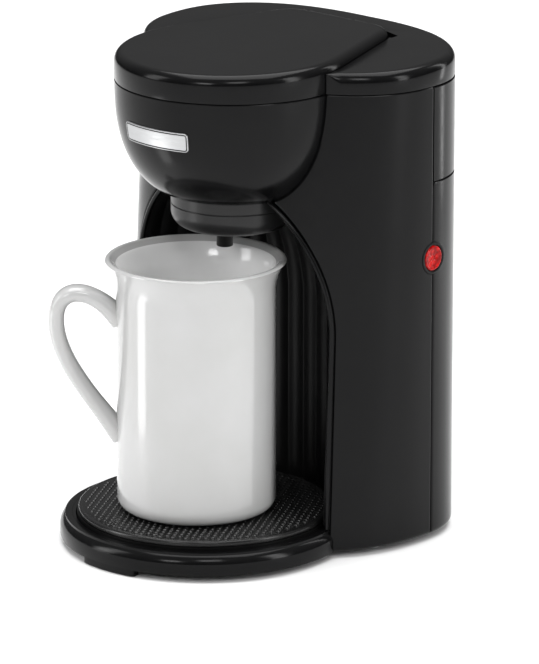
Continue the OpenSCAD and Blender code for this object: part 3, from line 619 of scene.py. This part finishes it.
def tank_loop(z, inset, trim):
    """The tank's outline: the oval's back, then the front edge with the bowl's round bite."""
    front = part_y + part_half + trim
    bite = head_r + 1 + trim
    start = oval_angle_at(front, z, inset)
    back = oval(np.linspace(start, 180 - start, 160), z, inset)
    reach = math.sqrt(bite ** 2 - (front - head_y) ** 2)
    a0 = math.degrees(math.atan2(front - head_y, -reach))
    a1 = math.degrees(math.atan2(front - head_y, reach))
    hollow = arc(0, head_y, bite, a0, a1, 40)
    left = np.linspace(back[-1], hollow[0], 8)[1:-1]
    right = np.linspace(hollow[-1], back[0], 8)[1:-1]
    return [(p[0], p[1], z) for p in np.concatenate([back, left, hollow, right])]


def tank_tub():
    low, high = tank_z + part_half, seam_z - seam_gap
    rings = [tank_loop(low + wall, wall, wall), tank_loop(high, wall, wall),
             tank_loop(high, 0.35, 0.3), tank_loop(high - 0.35, 0, 0),
             tank_loop((low + high) / 2, 0, 0), tank_loop(low + 0.35, 0, 0),
             tank_loop(low, 0.35, 0.3)]
    return Shape().loft(rings)


tank = make("water_tank_tub", tank_tub(), gloss_black, "machine", ["water_tank"])


def sump_box():
    """The tank's deep lower part, a rounded box inside the rear panel."""
    low, high = floor_z + 112, tank_z + part_half + 0.5
    plan = rounded([(-60, 45, 3), (48, 45, 3), (48, 64, 8), (26, 79, 10), (-32, 79, 10),
                    (-60, 60, 8)], 4)
    middle = plan.mean(axis=0)
    rings = []
    for scale, z in ((0.94, low + wall), (0.94, high), (1, high), (1, low + 1), (0.98, low)):
        rings.append([(*(middle + (p - middle) * scale), z) for p in plan])
    return Shape().loft(rings)


make("water_tank_sump", sump_box(), clear_grey, "machine", ["water_tank"])

# ---- bay liner ----

flutes = 42
flute_depth = 0.8


def flute(angle):
    """Depth of the liner's vertical flutes at an angle about the cup axis."""
    return flute_depth * np.abs(np.sin(np.radians(angle) * flutes / 2))


def skin_angle(z, r):
    """The angle at which a circle about the cup axis runs into the tower's skin."""
    def outside(angle):
        turn = math.radians(angle)
        x, y = r * math.cos(turn), cup_y + r * math.sin(turn)
        depth = tower_y - tower_front(z) if y < tower_y else tower_back
        return (abs(x) / side_x) ** oval_power + (abs(y - tower_y) / depth) ** oval_power >= 1
    return crossing(-80.0, 90.0, outside)


def liner_ring(z, start, stop, columns):
    r = bay_radius(z)
    span = np.linspace(start, stop, columns)
    turn = np.radians(span)
    fade = np.clip((z - rim_z) / 3, 0, 1)
    inner_r = r - 0.02 - flute(span) * fade
    inner = [(a * math.cos(t), cup_y + a * math.sin(t), z) for a, t in zip(inner_r, turn)]
    coarse = turn[::-1][::4]
    outer = [((r + liner_t) * math.cos(t), cup_y + (r + liner_t) * math.sin(t), z)
             for t in coarse]
    return inner + outer


def liner():
    low, high = rim_z + 0.2, bowl_z - 0.1
    levels = [low] + list(np.linspace(low + 3, arch_z, 12))
    levels += list(arch_z + arch_h * np.sin(np.radians(np.arange(3, 58, 3))))
    levels = [z for z in levels if z < high] + [high]
    rings = []
    for z in levels:
        start = skin_angle(z, bay_radius(z) + 1)
        rings.append(liner_ring(z, start, 180 - start, 341))
    return Shape().loft(rings)


make("bay_wall", liner(), satin_black, "machine", ["bay_liner"], sharp=50)


def bead(side):
    """The rounded front edge of the bay's wall."""
    bead_r = 1.15
    path = []
    for z in list(np.arange(rim_z + 0.6, arch_z, 3.0)) + list(np.arange(arch_z, 158.6, 0.8)):
        r = bay_radius(z) + 1.0
        a = math.radians(skin_angle(z, r))
        path.append(np.array([side * r * math.cos(a), cup_y + r * math.sin(a), z]))
    rings = []
    for k, p in enumerate(path):
        along = path[min(k + 1, len(path) - 1)] - path[max(k - 1, 0)]
        along /= np.linalg.norm(along)
        out = np.array([side * 0.75, -0.66, 0])
        out -= along * (out @ along)
        out /= np.linalg.norm(out)
        across = np.cross(along, out)
        centre = p - out * 0.75
        rings.append([tuple(centre + bead_r * (math.cos(t) * out + math.sin(t) * across))
                      for t in np.radians(np.arange(0, 360, 22.5))])
    return Shape().loft(rings)


make("bay_bead_right", bead(1), gloss_black, "machine")
make("bay_bead_left", bead(-1), gloss_black, "machine")


def collar():
    """The low band behind the bay's wall that ties the two sides of the housing."""
    low, inner = floor_z + 2.6, bay_r + liner_t + bowl_gap
    turn = np.radians(np.linspace(25, 155, 80))
    rings = [[(r * math.cos(t), cup_y + r * math.sin(t), z) for r, z in
              ((inner, low), (inner + 1.6, low), (inner + 1.6, low + 14), (inner, low + 14))]
             for t in turn]
    return Shape().loft(rings)


make("housing_collar", collar(), satin_black, "machine", ["front_housing"])

# ---- brewing head ----


def bowl_outline():
    depths = bowl_h * np.sin(np.radians(np.linspace(0, 90, 40)))
    outer = [(bowl_radius(d), seam_z - d) for d in depths]
    outer[0] = (outer[0][0] - 0.3, seam_z)
    outer.insert(1, (head_r, seam_z - 0.35))
    floor_depth = bowl_h - wall
    inner = [(bowl_radius(d) - wall, seam_z - d) for d in depths if d < floor_depth]
    rim = basket_r + bowl_gap
    return (inner + [(bowl_radius(floor_depth) - wall, bowl_z + wall), (rim, bowl_z + wall),
                     (rim, bowl_z)] + outer[::-1])


make("brew_bowl", Shape().revolve(bowl_outline(), (0, head_y), 240), gloss_black, "machine",
     ["head_bowl"])


def cone_outline():
    low_r, mid_z, t = basket_r - cone_round, cone_low + cone_round, 1.8
    outside = [(low_r + cone_round * math.cos(a), mid_z + cone_round * math.sin(a))
               for a in np.radians(np.arange(-90, 1, 5))]
    inside = [(low_r + (cone_round - t) * math.cos(a), mid_z + (cone_round - t) * math.sin(a))
              for a in np.radians(np.arange(0, -91, -5))]
    return ([(2.4, cone_low)] + outside
            + [(basket_r, basket_floor - 1.5), (basket_r - 0.25, basket_floor - 1.15),
               (basket_r, basket_floor - 0.8), (basket_r, basket_floor),
               (basket_r - t, basket_floor)] + inside + [(2.4, cone_low + t)])


make("drip_dome", Shape().revolve(cone_outline(), (0, head_y), 180), dark_grey, "machine",
     ["drip_cone"])


def nozzle_outline():
    r, bore = 3.65, 2.2
    return [(bore, nozzle_low), (r - 0.5, nozzle_low), (r - 0.15, nozzle_low + 0.15),
            (r, nozzle_low + 0.5), (r, cone_low - 1.2), (r + 0.5, cone_low - 0.4),
            (r + 1.2, cone_low), (bore, cone_low)]


make("nozzle", Shape().revolve(nozzle_outline(), (0, nozzle_y), 72), dark_grey, "machine",
     ["drip_nozzle"])


def badge_plate():
    """A plate on the bowl's front with a raised double border, its field left blank."""
    half_w, half_h, corner = head_r * math.sin(math.radians(21)), 4.3, 1.8
    middle = seam_z - 17.7
    profile = [(0, 0.02), (0, 0.5), (0.1, 0.7), (0.2, 0.78), (0.42, 0.78), (0.48, 0.7),
               (0.52, 0.5), (0.92, 0.5), (0.98, 0.66), (1.2, 0.68), (1.4, 0.68),
               (1.9, 0.68), (2.6, 0.68), (3.3, 0.68), (3.9, 0.68), (4.25, 0.68)]
    shape = Shape()
    rings = []
    for depth, height in profile:
        w, h = half_w - depth, half_h - depth
        r = max(corner - depth, 0.02)
        loop = []
        for cx, cy, start in ((w - r, h - r, 0), (-w + r, h - r, 90), (-w + r, -h + r, 180),
                              (w - r, -h + r, 270)):
            loop += list(arc(cx, cy, r, start, start + 90, 6))
        dense = []
        for k, p in enumerate(loop):
            q = loop[(k + 1) % len(loop)]
            long_side = k % 7 == 6 and k % 14 == 6
            count = 40 if long_side else 1
            dense += [p + (q - p) * j / count for j in range(count)]
        ring = []
        for s, up in dense:
            z = middle + up
            r_here = bowl_radius(seam_z - z) + 0.03 + height
            a = -math.pi / 2 + s / head_r
            ring.append((r_here * math.cos(a), head_y + r_here * math.sin(a), z))
        rings.append(ring)
    shape.loft(rings)
    count = len(rings[0])
    for row in (5, 6, 7):
        shape.paint[row * count:(row + 1) * count] = [1] * count
    return shape


make("badge_blank", badge_plate(), [plate_metal, satin_black], "machine",
     ["badge"], sharp=28)

# ---- lid and cap ----


def lid_floor(y):
    """Height of the lid's lower edge: down to the seam in front, up on the cap behind."""
    if y < notch_y:
        return seam_z + seam_gap
    if y <= hinge_y:
        return skirt_z
    drop = math.sqrt(max(0.0, tail_r ** 2 - (y - hinge_y) ** 2))
    return max(skirt_z, hinge_z - drop)


def split_outline(inset):
    """The lid's outline with extra points where its lower edge steps up."""
    points = list(lid_outline(inset))
    out = []
    for k, p in enumerate(points):
        q = points[(k + 1) % len(points)]
        out.append(p)
        if (p[1] - notch_y) * (q[1] - notch_y) < 0:
            t = (notch_y - p[1]) / (q[1] - p[1])
            out += [p + (q - p) * (t - 0.01), p + (q - p) * (t + 0.01)]
    return np.array(out)


def lid_ring(inset, drop, low=None):
    ring = []
    for x, y in split_outline(inset):
        z = lid_top(y) - drop
        if low is not None:
            z = min(lid_floor(y) + low, z)
        ring.append((x, y, max(z, lid_floor(y))))
    return ring


def lid_shell():
    skin = 1.8
    turn = np.radians(np.arange(90, -1, -15))
    rings = [lid_ring(skin + 3 * (1 - math.cos(t)), skin + 3 * (1 - math.sin(t)))
             for t in turn]
    rings.append(lid_ring(skin, 0, low=0.0))
    rings.append(lid_ring(0.35, 0, low=0.0))
    rings.append(lid_ring(0.1, 0, low=0.1))
    rings.append(lid_ring(0, 0, low=0.35))
    for t in np.radians(np.arange(0, 91, 7.5)):
        rings.append(lid_ring(edge_r * (1 - math.cos(t)), edge_r * (1 - math.sin(t))))
    return Shape().loft(rings)


def hinge_tube(r, bore, x0, x1, steps=48):
    shape = Shape()
    turn = np.radians(np.arange(steps) * 360 / steps)
    rings = [[(x, hinge_y + a * math.cos(t), hinge_z + a * math.sin(t)) for t in turn]
             for a, x in ((bore, x0), (r - 0.3, x0), (r, x0 + 0.3), (r, x1 - 0.3),
                          (r - 0.3, x1), (bore, x1))]
    return shape.tube(rings)


make("lid_shell", lid_shell(), gloss_black, "lid", ["lid"], sharp=30)
make("lid_knuckle", hinge_tube(3.3, 1.3, -17.5, 17.5), satin_black, "lid",
     ["lid"])


def cap_rails(count=150):
    """Matching points of the cap's outer edge and its edge round the lid."""
    # the outline runs over the front from left to right, then back round the tail
    inner = list(lid_outline(-lid_gap))
    right = [k for k, p in enumerate(inner) if p[0] > 0]
    first = min(right, key=lambda k: abs(inner[k][1] - cap_tip[1]))
    loop = inner[first:] + inner[:first]
    path = [np.array(cap_tip)]
    for p in loop:
        if p[1] > cap_tip[1] + 0.3:
            path.append(np.array(p))
        elif len(path) > 40:
            break
    path.append(np.array([-cap_tip[0], cap_tip[1]]))
    path = np.array(path)
    length = np.concatenate([[0], np.cumsum(np.linalg.norm(np.diff(path, axis=0), axis=1))])
    where = np.linspace(0, length[-1], count)
    rail = np.stack([np.interp(where, length, path[:, k]) for k in (0, 1)], 1)
    return rail


def beside_head(angle):
    p = oval(angle, seam_z)
    return math.hypot(p[0], p[1] - head_y) < head_r + lid_gap


# where the tower's oval crosses the edge round the lid
tip_angle = crossing(-89.0, 30.0, beside_head)
cap_tip = oval(tip_angle, seam_z)


def cap_shell():
    inner_rail = cap_rails()
    count = len(inner_rail)
    u = np.linspace(0, 1, count)
    angles = tip_angle + (180 - 2 * tip_angle) * u
    rings = []
    for k in range(count):
        o = oval(angles[k], seam_z)
        i = inner_rail[k]
        gap = np.linalg.norm(i - o)
        toward = (i - o) / gap if gap > 1e-6 else np.array([-1.0, 0.0])
        if gap < 0.4:
            toward = np.array([0 - math.copysign(1, o[0]), 0.0])
        r = min(edge_r, gap * 0.8 + 0.02)
        inner_r = min(0.5, gap * 0.15 + 0.01)
        ring = []
        base = seam_z + seam_gap
        ring.append((*(o + toward * 0.3), base))
        ring.append((*(o + toward * 0.08), base + 0.08))
        ring.append((*o, base + 0.3))
        for t in np.radians(np.arange(0, 91, 9)):
            # the edge is drawn in along the oval's own normal
            p = o + toward * r * (1 - math.cos(t))
            ring.append((p[0], p[1], cap_top(p[1]) - r * (1 - math.sin(t))))
        for t in np.radians((90, 60, 30, 0)):
            p = i - toward * inner_r * (1 - math.cos(t))
            ring.append((p[0], p[1], cap_top(p[1]) - inner_r * (1 - math.sin(t))))
        ring.append((*i, base + 2.1))
        ring.append((*i, base))
        rings.append(ring)
    return Shape().loft(rings)


cap = make("cap_shell", cap_shell(), gloss_black, "machine", ["top_cap"], sharp=30)


relief_r = tail_r + 0.45
relief_x = 25
relief_end = 33.8


hinge = (hinge_y, hinge_z)
for side in (-1, 1):
    cut(cap, bar("x", hinge, (relief_r, tail_r / 2),
                 (side * (relief_x - 0.01), side * relief_end), 64))
cut(cap, bar("x", hinge, (relief_r, relief_r), (-relief_x, relief_x), 64))


def deck():
    rail = cap_rails(140)
    rail = np.array([p for p in rail if p[1] > notch_y + lid_gap + 0.05])
    rings = []
    for p in rail:
        toward = np.array([0, head_y]) - p
        a = math.atan2(p[1] - head_y, p[0])
        q = np.array([0, head_y]) + (head_r - 2) * np.array([math.cos(a), math.sin(a)])
        out = p + (p - q) / np.linalg.norm(p - q) * 0.3
        rings.append([(*out, seam_z + seam_gap), (*q, seam_z + seam_gap),
                      (*q, deck_z - 0.3), (*(q + (p - q) * 0.02), deck_z), (*out, deck_z)])
    return Shape().loft(rings)


def box_shape(low, high):
    x0, y0, z0 = low
    x1, y1, z1 = high
    loop = [(x0, y0), (x1, y0), (x1, y1), (x0, y1)]
    return Shape().loft([[(*p, z0) for p in loop], [(*p, z1) for p in loop]])


deck_piece = make("cap_deck", deck(), satin_black, "machine", ["top_cap"])
cut(deck_piece, box_shape((-17.5, head_y + 55.2, seam_z - 2), (17.5, hinge_y - 3.2, seam_z + 9)))


def ear(side):
    plan = rounded([(-8, deck_z - hinge_z - 0.05, 0), (-8, 1.9, 1.2), (2.2, 1.9, 1.85),
                    (2.2, -2.2, 1.85), (-2.0, -1.1, 0.4), (-4.9, -1.1, 0.5),
                    (-4.9, deck_z - hinge_z - 0.05, 0)], 5)
    x0, x1 = 18.05, 21.95
    mid = plan.mean(axis=0)
    rings = []
    for x, shrink in ((x0, 0.97), (x0 + 0.2, 1), (x1 - 0.2, 1), (x1, 0.97)):
        rings.append([(side * x, hinge_y + mid[0] + (p[0] - mid[0]) * shrink,
                       hinge_z + mid[1] + (p[1] - mid[1]) * shrink) for p in plan])
    return Shape().loft(rings)


for name, side in (("hinge_ear_right", 1), ("hinge_ear_left", -1)):
    make(name, ear(side), gloss_black, "machine", ["top_cap"])

# ---- base ----

tray_r = grille_r + 0.6
rim_r = tray_r + 0.3
ledge_r = bay_r + liner_t - 0.2
skirt = 4.5
round_r = base_h - skirt


def ledge_outline():
    low, high = floor_z, floor_z + base_h
    return [(ledge_r, low + 3.45), (ledge_r, high), (rim_r + 0.4, high), (rim_r + 0.1, high - 0.12),
            (rim_r, high - 0.4), (rim_r, low + 5.4), (rim_r - 8, low + 5.4), (rim_r - 8, low + 3.45)]


make("base_ledge", Shape().revolve(ledge_outline(), (0, cup_y), 220), gloss_black, "machine",
     ["base_ring"])


def skirt_band():
    """The base's outer band, its two ends rounded where they meet the tower."""
    low, high = floor_z, floor_z + base_h
    section = [(base_r - wall, low), (base_r - 0.35, low), (base_r - 0.1, low + 0.1),
               (base_r, low + 0.35), (base_r, low + skirt)]
    section += [(base_r - round_r + round_r * math.cos(t), low + skirt + round_r * math.sin(t))
                for t in np.radians(np.arange(7.5, 91, 7.5))]
    section += [(ledge_r - 3.2, high), (ledge_r - 3.2, high - 1.8), (base_r - wall, high - 3.6)]
    start = skin_angle(low + 5, base_r)
    stop = 180 - start
    angles = [start + a for a in (0, 0.25, 0.7, 1.3, 2.0)]
    middle = list(np.linspace(start + 3, stop - 360 - 3, 170))
    span = angles + middle + [stop - 360 - a for a in (2.0, 1.3, 0.7, 0.25, 0)]
    rings = []
    for a in span:
        near = min(abs(a - start), abs(a - (stop - 360)))
        t = min(near / 2.0, 1.0)
        inset = 1.6 * (1 - math.sqrt(max(0.0, 1 - (1 - t) ** 2)))
        turn = math.radians(a)
        ring = []
        for r, z in section:
            r2 = r - inset * (r > base_r - wall + 0.1) * (r > ledge_r - 3)
            z2 = z - inset * (z > low + skirt) * (r > ledge_r - 3.3) if r > ledge_r - 3.3 else z
            if z <= low + 0.2:
                z2 = z
            ring.append((r2 * math.cos(turn), cup_y + r2 * math.sin(turn), z2))
        rings.append(ring)
    return Shape().loft(rings)


make("base_skirt", skirt_band(), gloss_black, "machine", ["base_ring"])


def front_tab():
    deep = 4.5
    section = rounded([(base_r - deep, 0, 0.3), (base_r, 0, 0.6), (base_r, floor_z + 0.3, 0),
                       (base_r - deep, floor_z + 0.3, 0)], 4)
    rings = []
    for a in (-103.5, -103.2, -102.6, *np.linspace(-101.5, -78.5, 24), -77.4, -76.8, -76.5):
        near = min(a + 103.5, -76.5 - a)
        inset = 0.8 * (1 - math.sqrt(max(0.0, 1 - (1 - min(near / 1.5, 1)) ** 2)))
        turn = math.radians(a)
        rings.append([((r - inset * (r > base_r - 2)) * math.cos(turn),
                       cup_y + (r - inset * (r > base_r - 2)) * math.sin(turn), z)
                      for r, z in section])
    return Shape().loft(rings)


make("front_tab", front_tab(), gloss_black, "machine", ["front_foot"])


def grille_outline():
    top, low = grille_z, grille_z - 2.5
    lip = [(grille_r - 1.2 + 1.2 * math.cos(t), top - 1.2 + 1.2 * math.sin(t))
           for t in np.radians(np.arange(0, 91, 15))]
    return ([(0, low), (grille_r - 0.3, low), (grille_r, low + 0.3)] + lip
            + [(grille_r - 2.0, top), (grille_r - 2.2, top - 0.1), (0, top - 0.1)])


grille = make("drip_plate", Shape().revolve(grille_outline(), (0, cup_y), 220), grille_black,
              "machine", ["drip_grille"])
holes = [(r * math.cos(a), cup_y + r * math.sin(a))
         for r, n in ((12, 6), (24, 12)) for a in np.radians(np.arange(n) * 360 / n)]
drill = Shape()
for hx, hy in holes:
    turn = np.radians(np.arange(0, 360, 12))
    drill.loft([[(hx + 2.2 * math.cos(t), hy + 2.2 * math.sin(t), z) for t in turn]
                for z in (grille_z - 5, grille_z + 5)])
cut(grille, drill)


def grille_dots():
    """Small domes in rows, each row set half a pitch from the last."""
    pitch, dot_r = 3.3, 0.95
    shape = Shape()
    rows = int(2 * grille_r / (pitch * 0.866)) + 2
    for j in range(-rows // 2, rows // 2 + 1):
        for i in range(-20, 21):
            x = (i + 0.5 * (j % 2)) * pitch
            y = j * pitch * 0.866
            if math.hypot(x, y) > grille_r - 3.4:
                continue
            if any(math.hypot(x - hx, y + cup_y - hy) < 2.2 + dot_r for hx, hy in holes):
                continue
            rings = []
            base = grille_z - 0.14
            for t in np.radians((0, 30, 60)):
                rings.append([(x + dot_r * math.cos(t) * math.cos(a),
                               y + cup_y + dot_r * math.cos(t) * math.sin(a),
                               base + (bump_h + 0.14) * math.sin(t))
                              for a in np.radians(np.arange(0, 360, 36))])
            first = len(shape.points)
            shape.loft(rings, caps=False)
            shape.points.append((x, y + cup_y, grille_z + bump_h))
            top = first + 20
            last = len(shape.points) - 1
            for k in range(10):
                shape.faces.append((top + k, top + (k + 1) % 10, last))
                shape.paint.append(0)
            shape.faces.append(tuple(first + k for k in range(9, -1, -1)))
            shape.paint.append(0)
    return shape


make("drip_plate_dots", grille_dots(), dot_black, "machine", ["drip_grille"],
     sharp=60)


def tray_outline():
    low, top, t = floor_z + 5.4, grille_z - 2.55, 1.4
    return [(0, low), (tray_r - 0.4, low), (tray_r, low + 0.4), (tray_r, top),
            (tray_r - t, top), (tray_r - t, low + t), (0, low + t)]


make("drip_pan", Shape().revolve(tray_outline(), (0, cup_y), 200), satin_black, "machine",
     ["drip_tray"])


def foot_shape(x, y):
    outline = [(0, 0), (6.2, 0), (6.8, 0.2), (7, 0.6), (7, floor_z + 0.6), (0, floor_z + 0.6)]
    return Shape().revolve(outline, (x, y), 64)


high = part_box("rubber_feet")[1]
foot_pairs = ((base_r - 15.4, cup_y + 16, "front"), (side_x - 28, high[1] / MM - 7, "rear"))
for x, y, place in foot_pairs:
    for side, word in ((1, "right"), (-1, "left")):
        make(f"foot_{place}_{word}", foot_shape(side * x, y), rubber_black, "machine",
             ["rubber_feet"])

# ---- power button and bushing ----

button_place = (0, button_y, button_z)


def button_cap():
    """A shallow dished lens with a faceted star inside its rim."""
    radii = [0.02, 0.5, 1.0, 1.5, 2.0, 2.5, 3.0, 3.5, 3.9, 4.2, 4.5, 4.75, 5.0, 5.2, 5.35, 5.44, 5.48]
    steps = 96
    rings = []
    back = button_face - 4.6
    turn = np.radians(np.arange(steps) * 360 / steps)
    rings.append([(0.02 * math.cos(t), 0.02 * math.sin(t), back) for t in turn])
    rings.append([(5.48 * math.cos(t), 5.48 * math.sin(t), back) for t in turn])
    for r in radii[::-1]:
        ring = []
        for t in turn:
            fold = abs(((math.degrees(t) / 45) % 1) - 0.5) * 2
            star = 0.34 * fold * min(1, r / 1.2) * max(0.0, 1 - (r / 4.3) ** 2)
            rim = 0.30 * max(0.0, (r - 4.75) / 0.75) ** 2
            groove = 0.16 * math.exp(-((r - 4.35) / 0.14) ** 2)
            height = button_face - 0.38 * (1 - (min(r, 4.8) / 4.8) ** 2) - star * 0.5 - rim - groove
            ring.append((r * math.cos(t), r * math.sin(t), height))
        rings.append(ring)
    return Shape().loft(rings)


make("power_lens", button_cap(), red_plastic, "button", ["power_button"],
     sharp=24, turn=button_place)


def bezel_outline():
    outer, inner = bezel_r - 0.1, button_r + 0.3
    face, back = side_x + 0.3, side_x - 6
    return [(inner, back), (outer, back), (outer, face - 0.35), (outer - 0.12, face - 0.1),
            (outer - 0.4, face), (inner + 0.35, face), (inner + 0.1, face - 0.12),
            (inner, face - 0.4)]


make("power_ring", Shape().revolve(bezel_outline(), (0, 0), 96), satin_black, "machine",
     ["button_bezel"], turn=button_place)


def bushing():
    bore = 3.6
    low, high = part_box("cord_bushing")
    y0, y1 = low[1] / MM, high[1] / MM
    outline = [(bore, y0), (bore + 1.8, y0), (bore + 1.8, y1 - 2.3), (bore + 3.2, y1 - 2.2),
               (bore + 3.3, y1 - 0.6), (bore + 2.8, y1 - 0.05), (bore + 0.5, y1 - 0.02),
               (bore, y1 - 0.5)]
    turn = np.radians(np.arange(72) * 5)
    rings = [[(bushing_x + r * math.cos(t), y, bushing_z + r * math.sin(t)) for t in turn]
             for r, y in outline]
    return Shape().tube(rings)


make("inlet_bushing", bushing(), rubber_black, "machine", ["cord_bushing"])

# ---- mug ----


def mug_radius(h):
    return mug_r + lip_flare * (max(0.0, h - mug_h + lip_h) / lip_h) ** 2


def mug_outline():
    turn_r, foot = 5.0, mug_r - 3
    heights = list(np.linspace(turn_r + 4, mug_h - lip_h, 12)) + list(
        np.linspace(mug_h - lip_h + 1, mug_h - 1.2, 12))
    lip = mug_radius(mug_h)
    out = [(0, 1.4), (foot - 6, 1.4), (foot - 5.2, 0.9), (foot - 4.5, 0), (foot - turn_r + 3, 0)]
    out += [(mug_r - turn_r + turn_r * math.cos(a), turn_r + turn_r * math.sin(a))
            for a in np.radians(np.arange(-70, 1, 7))]
    out += [(mug_radius(h), h) for h in heights]
    middle = lip - mug_wall / 2 + 0.15
    half = mug_wall / 2 - 0.2
    out += [(middle + half * math.cos(a), mug_h - half + half * math.sin(a))
            for a in np.radians(np.arange(20, 161, 14))]
    lip_end = len(out)
    out += [(mug_radius(h) - mug_wall, h) for h in heights[::-1] if h < mug_h - 1.6]
    inner = mug_r - mug_wall - 5
    out += [(inner + 5 * math.cos(a), mug_wall + 6 + 5 * math.sin(a))
            for a in np.radians(np.arange(0, -76, -7.5))]
    out += [(mug_r - mug_wall - 6, mug_wall + 1), (0, mug_wall + 1)]
    return [(r, z + mug_z) for r, z in out], lip_end


def bezier(p, t):
    p = [np.array(q, float) for q in p]
    return ((1 - t) ** 3 * p[0] + 3 * (1 - t) ** 2 * t * p[1]
            + 3 * (1 - t) * t ** 2 * p[2] + t ** 3 * p[3])


def mug_handle():
    out = mug_r + 26
    top = [(mug_r - 2, mug_h - 28.5), (mug_r + 9, mug_h - 13), (out + 0.5, mug_h - 11),
           (out, mug_h - 29)]
    low = [(out, mug_h - 29), (out - 0.5, mug_h - 47), (mug_r + 9, mug_h - 65),
           (mug_r - 2, mug_h - 81)]
    line = [bezier(top, k / 28) for k in range(29)] + [bezier(low, k / 32) for k in range(1, 33)]
    total = len(line) - 1
    turn = math.radians(handle_angle)
    away = np.array([math.cos(turn), math.sin(turn)])
    side = np.array([-away[1], away[0]])
    rings = []
    for k, p in enumerate(line):
        along = line[min(k + 1, total)] - line[max(k - 1, 0)]
        across = np.array([along[1], -along[0]]) / np.linalg.norm(along)
        reach = p[0] - mug_r
        flare = 1 + 0.22 * max(0.0, 1 - max(reach, 0) / 12.0) ** 2
        ring = []
        for a in np.radians(np.arange(0, 360, 12)):
            u = 3.6 * signed_power(math.cos(a), 0.75) * flare
            v = 5.8 * signed_power(math.sin(a), 0.75) * flare
            q = p + u * across
            flat = q[0] * away + v * side
            ring.append((flat[0], mug_y + flat[1], mug_z + q[1]))
        rings.append(ring)
    return Shape().loft(rings)


outline, lip_end = mug_outline()
steps = 200
cup = Shape().revolve(outline, (0, mug_y), steps)
# Faces inside the lip take the brighter inside glaze, which is painted light.
cup.paint = [int(k // steps >= lip_end) for k in range(len(cup.faces))]
mug = make("mug_body", cup, [glaze_white, glaze_inside_painted_light], "mug", ["mug"],
           sharp=40)
combine(mug, mug_handle(), "UNION", 40.0)

# ---- nodes shown as they were packed ----

kept = {
    "black_gloss": gloss_black, "black_satin": satin_black, "grey_plastic": dark_grey,
    "clear_grey": clear_grey, "silicone": silicone, "black_rubber": rubber_black,
    "red_plastic": red_plastic, "badge_metal": plate_metal, "heater_aluminium": cast_metal,
    "steel": plated_steel, "mesh_steel": mesh_steel, "cream_plastic": cream,
    "wire_jacket": wire_red, "white_glaze": glaze_white,
}
slots = {part["node"]: part["material_slot"] for part in frame["record"]["subparts"]}
for name, piece in frame["nodes"].items():
    if piece.hide_render:
        continue
    piece.data.materials.clear()
    piece.data.materials.append(kept[slots[name]])
    piece.data.polygons.foreach_set("use_smooth", [True] * len(piece.data.polygons))
    weld = piece.modifiers.new("weld", "WELD")
    weld.merge_threshold = 2e-6
    split = piece.modifiers.new("split", "EDGE_SPLIT")
    split.split_angle = math.radians(28)

# ---- floor, light and camera ----


def plain(name, colour, roughness):
    material, tree, shader = new_material(name)
    where = tree.nodes.new("ShaderNodeTexCoord").outputs["Object"]
    soft = noise(tree, where, 3, 3)
    near = tuple(c * 0.99 for c in colour)
    tree.links.new(blend_colour(tree, soft, colour, near), shader.inputs["Base Color"])
    shader.inputs["Roughness"].default_value = roughness
    return material


def flat_floor():
    """A pale round floor, wide enough to fill the camera's view."""
    turn = np.radians(np.arange(96) * 360 / 96)
    radii = (0.4, 1.2, 3.4)
    points = [(0.0, 0.0, -0.0002)]
    for r in radii:
        points += [(r * math.cos(t), r * math.sin(t), -0.0002) for t in turn]
    faces = [(0, 1 + k, 1 + (k + 1) % 96) for k in range(96)]
    faces += [(a + 1, b + 1, c + 1, d + 1) for a, b, c, d in grid_faces(len(radii), 96)]
    mesh = bpy.data.meshes.new("floor")
    mesh.from_pydata(points, [], faces)
    mesh.materials.append(plain("floor_white", (0.86, 0.86, 0.86), 0.65))
    floor = bpy.data.objects.new("floor", mesh)
    bpy.context.scene.collection.objects.link(floor)


flat_floor()


def softbox(name, place, aim, size, power, colour=(1, 1, 1)):
    data = bpy.data.lights.new(name, "AREA")
    data.shape = "RECTANGLE"
    data.size, data.size_y = size
    data.energy = power
    data.color = colour
    light = bpy.data.objects.new(name, data)
    light.location = place
    light.rotation_euler = (Vector(aim) - Vector(place)).to_track_quat("-Z", "Y").to_euler()
    bpy.context.scene.collection.objects.link(light)
    return light


softbox("key_left", (-1.1, -1.3, 0.8), (0, 0, 0.12), (0.5, 1.2), 10)
softbox("front_high", (1.1, -1.05, 1.25), (0, 0, 0.1), (0.5, 0.5), 6)
softbox("mug_strip", (-0.125, -0.2, 0.05), (0, -0.04, 0.05), (0.05, 0.1), 0.06)
softbox("into_mug", (0.45, -1.7, 0.85), (0, -0.04, 0.1), (0.4, 0.4), 6)
softbox("fill_right", (1.3, 0.25, 0.55), (0, 0, 0.12), (0.3, 1.0), 8)
softbox("overhead", (-0.2, 0.5, 3.2), (0, 0.2, 0), (3.2, 3.2), 150)
softbox("strip_right", (0.24, 0.46, 0.26), (0.06, 0.04, 0.12), (0.05, 0.5), 0.5)

world = bpy.data.worlds.new("studio")
world.use_nodes = True
sky = world.node_tree
up = sky.nodes.new("ShaderNodeSeparateXYZ")
sky.links.new(sky.nodes.new("ShaderNodeTexCoord").outputs["Generated"], up.inputs["Vector"])
sky.links.new(blend_colour(sky, ramp(sky, up.outputs["Z"], 0.05, 0.8, 0, 1),
                           (0.1, 0.1, 0.1), (0.9, 0.9, 0.9)),
              sky.nodes["Background"].inputs["Color"])
sky.nodes["Background"].inputs["Strength"].default_value = 0.6
bpy.context.scene.world = world

camera_data = bpy.data.cameras.new("camera")
camera_data.lens = 320.96
camera_data.sensor_width = 36
camera_data.clip_end = 50
camera = bpy.data.objects.new("camera", camera_data)
camera.location = (1.6891, -1.8444, 0.8204)
target = Vector((0.03816, -0.0231, 0.10166))
camera.rotation_euler = (target - camera.location).to_track_quat("-Z", "Y").to_euler()
bpy.context.scene.collection.objects.link(camera)
bpy.context.scene.camera = camera

bpy.context.scene.view_settings.view_transform = "Standard"
